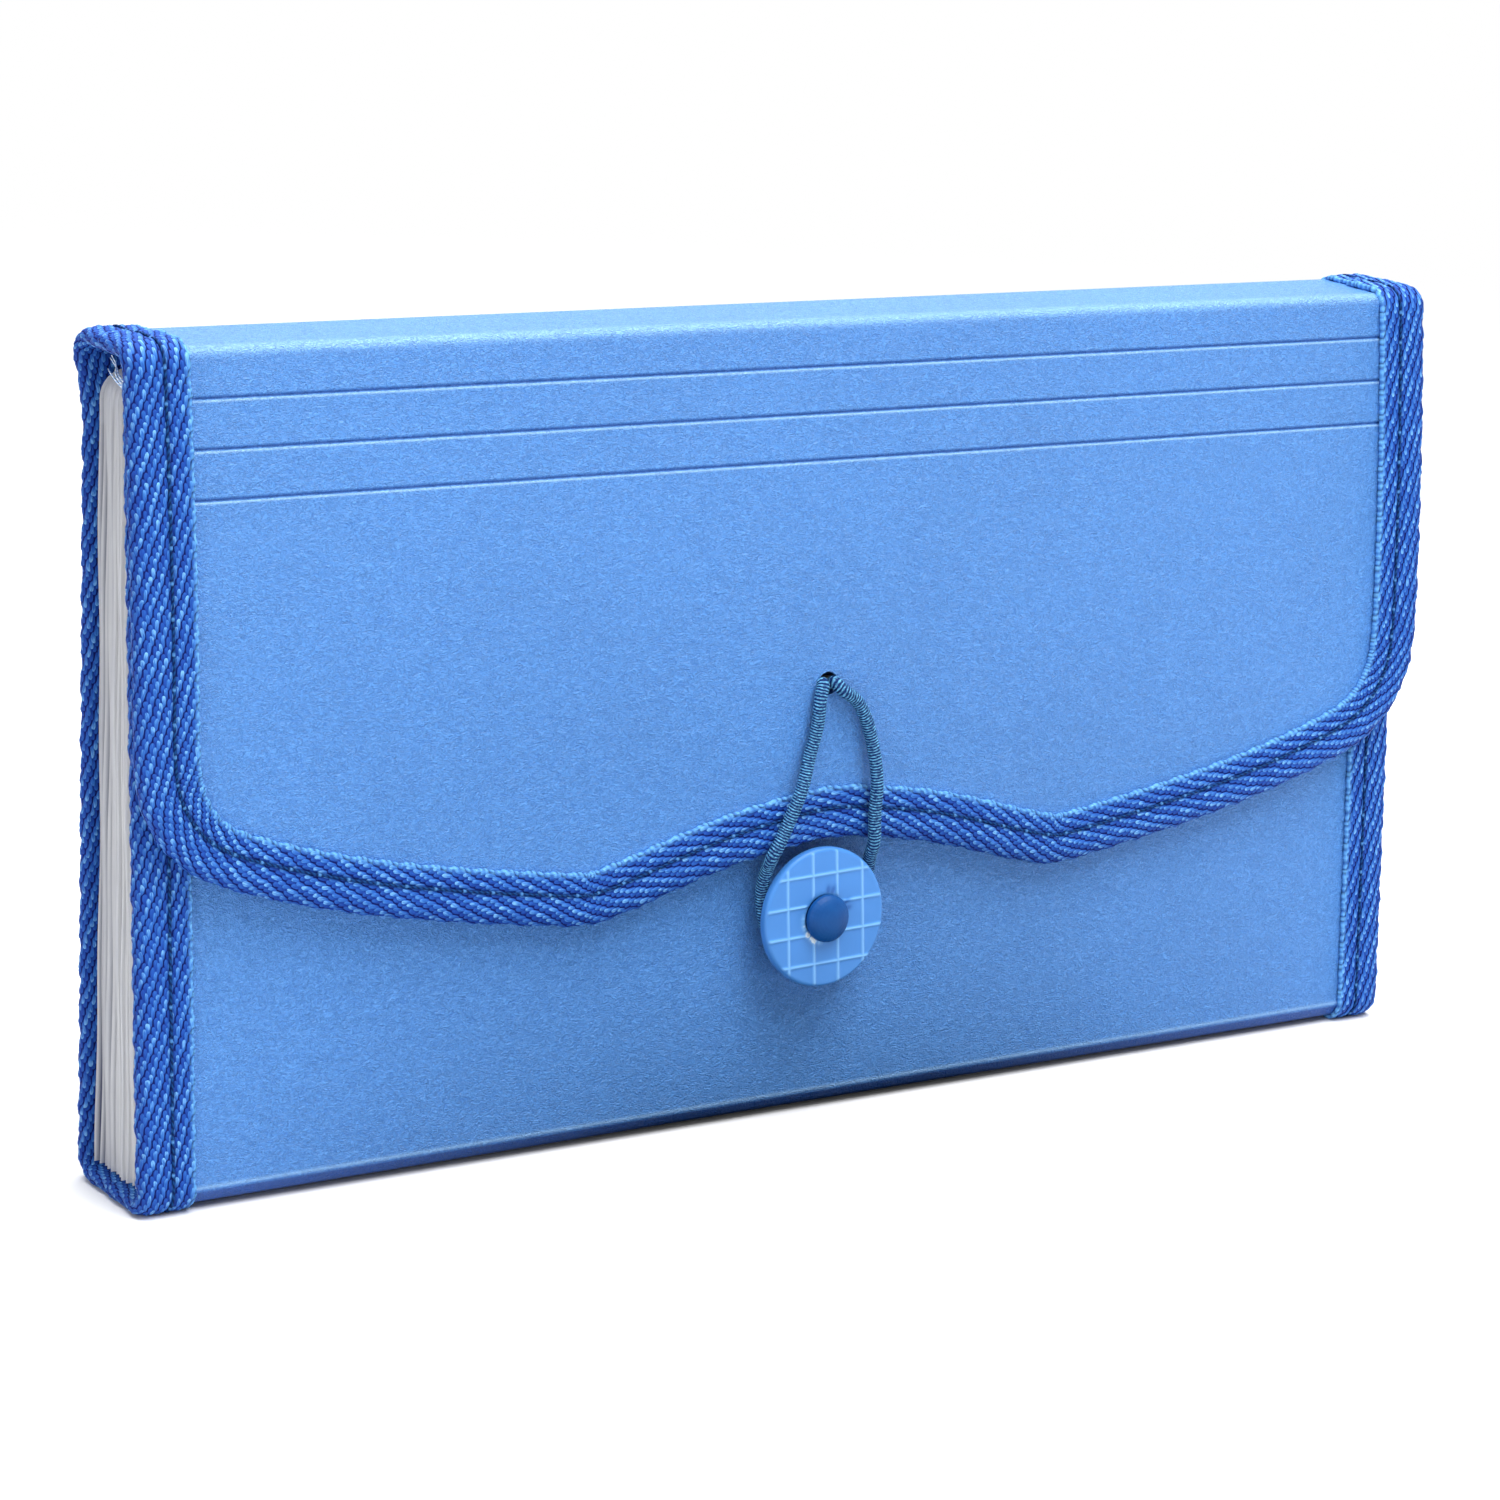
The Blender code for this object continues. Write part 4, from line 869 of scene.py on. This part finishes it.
pleat_top = FRONT_TOP.z - CREASE.z
heights = np.r_[np.linspace(PLEAT_FLOOR, pleat_top - PLEAT_CORNER, PLEAT_ROWS),
                pleat_top - PLEAT_CORNER * (1 - np.sin(np.linspace(0, math.pi / 2, 9)[1:]))]
corner = np.clip((heights - pleat_top + PLEAT_CORNER) / PLEAT_CORNER, 0, 1)
drop = PLEAT_CORNER * (1 - np.sqrt(np.clip(1 - corner ** 2, 0, 1)))
fold = np.linspace(-1, 1, PLEAT_COLUMNS)
for side, label in ((-1, "left"), (1, "right")):
    for number in range(1, POCKET_COUNT + 1):
        first, second = (number - 1) / POCKET_COUNT, number / POCKET_COUNT
        fullness = np.interp(number, PLEATS_FILL, PLEAT_FULLNESS)
        sway = 0.00025 * np.sin(heights * 55 + number * 1.7) + 0.00012 * np.sin(heights * 190 + number)
        opening = np.abs(fold) ** fullness
        x = side * (VALLEY + (RIDGE - VALLEY - drop + sway)[:, None] * (1 - opening))
        share = first + (second - first) * (0.5 + 0.5 * np.copysign(np.abs(fold) ** 1.3, fold))
        y = CREASE.y + wall_depth(share, heights[:, None])
        # Painted shade in the valleys, strongest at the rear pleats and fading towards the top
        shaded = np.clip((pleat_top - heights) / PLEAT_SHADE_FADE, 0, 1) * np.interp(number, PLEATS_SHADED, (1, 0))
        mesh, work = shaped_grid(f"pleat_{label}_{number}", gridded(x, y, CREASE.z + heights[:, None]),
                                 (fold * 5, heights[:, None] * 1000), {"painted_valley_shade": shaded[:, None] * opening})
        bmesh.ops.solidify(work, geom=work.faces[:], thickness=PLEAT_FILM)
        bmesh.ops.recalc_face_normals(work, faces=work.faces)
        pleat = finished(mesh, work, film, crisp=60)
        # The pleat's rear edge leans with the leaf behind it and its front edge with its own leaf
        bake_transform(pleat)
        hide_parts(f"gusset_{label}")

for number in range(1, POCKET_COUNT):
    frame["nodes"][f"divider_{number}"].data.materials[0] = film

# -----------------------------------------------------------------------------
# Fray: three ends of undyed thread, 5 mm long, that have worked out of the binding and stand up behind the front's
# upper left corner. They are fixed to the tape.
FRAY_ROOT = 0.0006
FRAY_OUT = 0.0008
FRAY_SHARE = 0.97
FRAY_STEP = 0.0002
FRAY_RADII = (0.00022, 0.00008)
# How far each end bends out, to the rear and up from its root, in millimetres
FRAY_ENDS = (
    ((0.0, 0.0, 0.0), (0.5, 1.2, 1.1), (0.2, 2.6, 1.9), (0.6, 4.2, 3.4)),
    ((0.3, 0.2, -0.3), (0.9, 1.5, 1.3), (0.5, 2.3, 2.6), (1.0, 2.8, 4.0)),
    ((0.1, 0.4, -0.8), (0.6, 2.0, 0.2), (0.9, 3.3, 1.1), (0.6, 5.0, 1.6)),
)


# Undyed polyester thread: pale, matt, its plies showing as a fine slanting line.
def undyed_thread(tree):
    place = add(tree, "UVMap", uv_map="UVMap")
    ply = add(tree, "TexWave", {"Vector": place, "Scale": 0.8, "Distortion": 1.0},
              bands_direction="DIAGONAL").outputs["Fac"]
    colour = add(tree, "Mix", {0: ply, 6: "8fb8e4", 7: "f0f6ff"}, data_type="RGBA")
    return add(tree, "BsdfPrincipled", {"Base Color": colour, "Roughness": 0.6})


pale_thread = new_material("undyed_polyester_thread", undyed_thread)
root_height = pleat_top - FRAY_ROOT
root = np.array(CREASE) + (-RIDGE - FRAY_OUT, wall_depth(FRAY_SHARE, root_height), root_height)
for number, bends in enumerate(FRAY_ENDS):
    stops, line = smooth_line([root + np.array((-out, rear, up)) / 1000 for out, rear, up in bends], FRAY_STEP)
    size = np.linspace(*FRAY_RADII, len(line))[:, None]
    mesh, work = tube(f"frayed_end_{number + 1}", line, np.array([(1, 0, 0)]), np.array([(0, 0.6, -0.8)]), size,
                      THREAD_TURNS, (stops[:, None] * 1000, THREAD_TURNS * THREAD_TWIST))
    end = finished(mesh, work, pale_thread, crisp=80)
    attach(end, "front")

# -----------------------------------------------------------------------------
# Button: a moulded pale blue disc with a raised grid, turning on a domed steel blue rivet through the front, with a
# washer behind it.
DISC_RADIUS = 0.0120
DISC_EDGE = 0.0007
DISC_FRONT = 0.0062
DISC_BACK = 0.0042
DISC_BOSS = 0.0040
DISC_BOSS_RADIUS = 0.0045
DISC_HOLE = 0.0038
HOLE_EDGE = 0.0003
DISC_RINGS = 46
DISC_SECTORS = 320
DISC_LINES = {"across": (-0.0074, -0.0023, 0.0025, 0.0076), "up": (-0.0078, -0.0027, 0.0024, 0.0075)}
DISC_GRID_TURN = math.radians(1.8)
DISC_RIB_HALF = 0.00024
DISC_RIB_HEIGHT = 0.00022
# How far the ribs keep from the rim and the hole, and over what length they rise
RIM_FADE = (0.0002, 0.0003)
HOLE_FADE = (0.0003, 0.0005)
RIVET_RADIUS = 0.0041
FLAKE_ANGLE = 4.05
FLAKE_WHITE = 4.2
TEAR_ANGLES = (0.25, 0.5, 1.25, 1.45)
TEAR_DARK = 1.2


# Moulded polypropylene, satin, a shade greener and paler than the cover, with a soft speckle from the mould. The thin
# ribs carry a painted highlight that makes them paler than the panels between them. Round the rivet it is torn: a
# white flake and two dark tears.
def moulded_plastic(tree):
    place = add(tree, "TexCoord").outputs["Object"]
    speckle = add(tree, "TexNoise", {"Vector": place, "Scale": 2200.0, "Detail": 2.0})
    cloud = add(tree, "TexNoise", {"Vector": place, "Scale": 160.0, "Detail": 2.0})
    rib = add(tree, "Attribute", attribute_name="rib").outputs["Fac"]
    colour = add(tree, "Mix", {0: cloud, 6: "3f80c8", 7: "4c8eda"}, data_type="RGBA")
    # Rib is 1 on a rib, where it adds a painted highlight, more on the white flake and less than 0 in the tears
    for start, full, most, shade in ((0.0, 1.0, 0.7, "8cc8fc"), (1.1, 1.8, 1.0, "e6f4ff"), (0.0, -1.0, 1.0, "2763ae")):
        share = add(tree, "MapRange", {"Value": rib, "From Min": start, "From Max": full, "To Max": most})
        colour = add(tree, "Mix", {0: share, 6: colour, 7: shade}, data_type="RGBA")
    bump = add(tree, "Bump", {"Height": speckle, "Strength": 0.12, "Distance": 0.00008})
    return add(tree, "BsdfPrincipled", {"Base Color": colour, "Roughness": 0.42, "IOR": 1.49,
                                        "Specular IOR Level": 0.35, "Normal": bump})


# Brass rivet under steel blue enamel: a soft broad highlight, faint orange peel and a few rubbed marks.
def enamelled_rivet(tree):
    place = add(tree, "TexCoord").outputs["Object"]
    peel = add(tree, "TexNoise", {"Vector": place, "Scale": 1500.0, "Detail": 2.0})
    rub = add(tree, "TexNoise", {"Vector": place, "Scale": 420.0, "Detail": 3.0})
    colour = add(tree, "Mix", {0: rub, 6: "083f7e", 7: "105294"}, data_type="RGBA")
    rough = add(tree, "MapRange", {"Value": rub, "To Min": 0.38, "To Max": 0.50})
    bump = add(tree, "Bump", {"Height": peel, "Strength": 0.1, "Distance": 0.00006})
    return add(tree, "BsdfPrincipled", {"Base Color": colour, "Roughness": rough, "Normal": bump,
                                        "Specular IOR Level": 0.2})


def button_disc():
    """The disc as a turned section with a rounded rim and a boss behind, its front raised in a square grid of ribs."""
    middle, half = (DISC_FRONT + DISC_BACK) / 2, (DISC_FRONT - DISC_BACK) / 2
    flat = DISC_RADIUS - DISC_EDGE
    profile = [(DISC_HOLE, DISC_BACK - DISC_BOSS), (DISC_HOLE, DISC_FRONT - HOLE_EDGE)]
    profile += [(DISC_HOLE + HOLE_EDGE * (1 - math.cos(turn)), DISC_FRONT - HOLE_EDGE * (1 - math.sin(turn)))
                for turn in np.linspace(0.3, math.pi / 2, 4)]
    profile += [(radius, DISC_FRONT) for radius in np.linspace(DISC_HOLE + 0.0004, flat, DISC_RINGS)]
    profile += [(flat + DISC_EDGE * math.sin(turn), middle + half * math.copysign(abs(math.cos(turn)) ** 0.6,
                math.cos(turn))) for turn in np.linspace(0, math.pi, 15)[1:]]
    profile += [(DISC_BOSS_RADIUS, DISC_BACK), (DISC_BOSS_RADIUS, DISC_BACK - DISC_BOSS), profile[0]]
    radius, height = (np.array(column)[:, None] for column in zip(*profile))
    angle = np.linspace(0, 2 * math.pi, DISC_SECTORS + 1)
    x, up = radius * np.cos(angle), radius * np.sin(angle)
    c, s = math.cos(DISC_GRID_TURN), math.sin(DISC_GRID_TURN)
    lines = [np.abs(x * c + up * s - line) for line in DISC_LINES["across"]] \
        + [np.abs(up * c - x * s - line) for line in DISC_LINES["up"]]
    on_front = height > DISC_FRONT - 0.0004
    # The ribs' paleness is a painted highlight
    rib = bump_at(np.min(lines, axis=0), 0, DISC_RIB_HALF) * on_front
    for room, (bare, rise) in ((DISC_RADIUS - radius, RIM_FADE), (radius - DISC_HOLE, HOLE_FADE)):
        rib = rib * np.clip((room - bare) / rise, 0, 1)
    off = height + DISC_RIB_HEIGHT * rib
    ragged = 0.6 + 0.25 * np.sin(angle * 17) + 0.15 * np.sin(angle * 41 + 1)
    flake = bump_at(angle, FLAKE_ANGLE, 0.38) + 0.35 * bump_at(angle, FLAKE_ANGLE - 0.75, 0.4)
    flake = flake * ragged * bump_at(radius, RIVET_RADIUS + 0.0002, 0.00045)
    tears = sum(bump_at(angle, tear, 0.09) for tear in TEAR_ANGLES) * bump_at(radius, RIVET_RADIUS + 0.0007, 0.0008)
    rib = rib + on_front * (FLAKE_WHITE * flake - TEAR_DARK * tears)
    centre = np.array(JOINTS["button_turn"]["pos_m"])
    places = centre + x[..., None] * (1, 0, 0) + up[..., None] * np.array(UP) + off[..., None] * np.array(OUT)
    mesh, work = shaped_grid("moulded_disc", places, (x * 1000, up * 1000), {"rib": rib})
    bmesh.ops.remove_doubles(work, verts=work.verts, dist=1e-6)
    bmesh.ops.recalc_face_normals(work, faces=work.faces)
    return finished(mesh, work, new_material("moulded_polypropylene", moulded_plastic), crisp=60)


disc = button_disc()
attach(disc, "button")
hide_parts("button_disc")

enamel = new_material("enamelled_rivet", enamelled_rivet)
frame["nodes"]["button_rivet"].data.materials[0] = enamel
frame["nodes"]["rivet_washer"].data.materials[0] = enamel

# -----------------------------------------------------------------------------
# Elastic loop: one round cord of braided cotton over rubber, 2.3 mm thick. Both ends pass through the hole in the flap
# and are clamped by a pale bar behind it.
CORD_HOLE = Vector(JOINTS["loop_lift"]["pos_m"])
CORD_RADIUS = 0.00115
CORD_STEP = 0.0001
CORD_RIB = 0.50
CORD_TURNS = np.linspace(0, 2 * math.pi, 15)
# How far down the cord no longer follows the flap's bow, and over what length it leaves it
CORD_LEAVES = 0.034
CORD_EASE = 0.008
# Knots of the cord's route from the hole: across, out from the flap's outer face and down, in millimetres
RIGHT_STRAND = (
    (1.30, -0.75, 0.00), (1.30, 0.40, 0.00), (2.20, 1.35, 1.20), (4.70, 1.45, 3.10), (6.60, 1.45, 6.40),
    (7.70, 1.45, 10.20), (8.15, 2.00, 14.10), (8.20, 2.35, 18.00), (7.75, 2.35, 23.00), (7.60, 2.35, 28.20),
    (7.80, 1.00, 30.60), (8.05, -0.35, 34.96), (6.15, -0.35, 41.54), (2.26, -0.35, 44.64), (-3.22, -0.35, 45.71),
)
LEFT_STRAND = (
    (-8.54, -0.35, 44.64), (-12.00, -0.35, 41.54), (-13.26, -0.35, 34.96), (-12.95, 1.00, 30.53),
    (-12.79, 2.35, 28.23), (-10.20, 2.35, 23.72), (-6.92, 2.35, 16.94), (-4.83, 1.45, 11.86), (-3.18, 1.45, 6.78),
    (-2.50, 1.45, 2.26), (-1.30, 0.40, 0.00), (-1.30, -0.75, 0.00),
)


# Braided elastic cord: teal picks 0.5 mm apart that slant to and fro round the cord, with a painted highlight, pale
# teal, on their crests and painted shade, deep and dark, in the gaps between them.
def braided_elastic(tree):
    place = add(tree, "UVMap", uv_map="UVMap")
    rib = add(tree, "Attribute", attribute_name="rib").outputs["Fac"]
    fine = add(tree, "VectorMath", {0: place, 1: (4.2, 1.6, 1)}, operation="MULTIPLY")
    fibre = add(tree, "TexNoise", {"Vector": fine, "Scale": 1.0, "Detail": 2.0})
    # The colour follows the picks' relief: painted highlight on the crests and painted shade in the gaps
    mixed = add(tree, "Math", {0: fibre, 1: 1.3, 2: rib}, operation="MULTIPLY_ADD")
    shade = add(tree, "MapRange", {"Value": mixed, "From Min": 1.30, "From Max": 1.90})
    colour = add(tree, "Mix", {0: shade, 6: "03265e", 7: "78c8f4"}, data_type="RGBA")
    bump = add(tree, "Bump", {"Height": mixed, "Strength": 0.8, "Distance": 0.00015})
    return add(tree, "BsdfPrincipled", {"Base Color": colour, "Roughness": 0.55, "Normal": bump,
                                        "Specular IOR Level": 0.15})


def cord_tube():
    """The cord and its centre line, which follows the flap's bow until it has passed the hem."""
    stops, line = smooth_line(np.array(RIGHT_STRAND + LEFT_STRAND) / 1000, CORD_STEP)
    up, out = np.array(UP), np.array(OUT)
    off_flap = line[:, 1] + bow(HOLE_DROP + line[:, 2]) * np.clip((CORD_LEAVES - line[:, 2]) / CORD_EASE, 0, 1)
    across = line[:, :1] + HOLE_OFFSET * np.clip((CORD_LEAVES - line[:, 2:]) / CORD_LEAVES, 0, 1)
    centre = np.array(CORD_HOLE) + across * (1, 0, 0) - line[:, 2:] * up + off_flap[:, None] * out
    way = unit(np.gradient(centre, axis=0))
    aside = np.zeros_like(centre)
    aside[0] = up - way[0] * (way[0] @ up)
    for index in range(1, len(aside)):
        aside[index] = aside[index - 1] - way[index] * (aside[index - 1] @ way[index])
        aside[index] /= np.linalg.norm(aside[index])
    slant = np.abs(np.mod(CORD_TURNS / math.pi, 1) - 0.5) * 0.9
    along = stops[:, None] * 1000
    # Rib shapes the picks and also carries their painted highlight and shade
    rib = np.sin(np.mod(along / CORD_RIB + slant, 1) * math.pi) ** 0.7
    mesh, work = tube("elastic_cord", centre, aside, np.cross(aside, way), CORD_RADIUS * (0.88 + 0.12 * rib),
                      CORD_TURNS, (along, CORD_TURNS), {"rib": rib})
    return finished(mesh, work, new_material("braided_elastic", braided_elastic), crisp=80), centre


cord, cord_line = cord_tube()
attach(cord, "loop")
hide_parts("elastic_loop")


# Nylon bar, moulded, pinkish white and translucent, with a little dust.
def moulded_nylon(tree):
    place = add(tree, "TexCoord").outputs["Object"]
    dust = add(tree, "TexNoise", {"Vector": place, "Scale": 900.0, "Detail": 2.0})
    colour = add(tree, "Mix", {0: dust, 6: "e5d6d8", 7: "f4ecec"}, data_type="RGBA")
    bump = add(tree, "Bump", {"Height": dust, "Strength": 0.2, "Distance": 0.00005})
    return add(tree, "BsdfPrincipled", {"Base Color": colour, "Roughness": 0.35, "Normal": bump})


frame["nodes"]["loop_bar"].data.materials[0] = new_material("moulded_nylon", moulded_nylon)
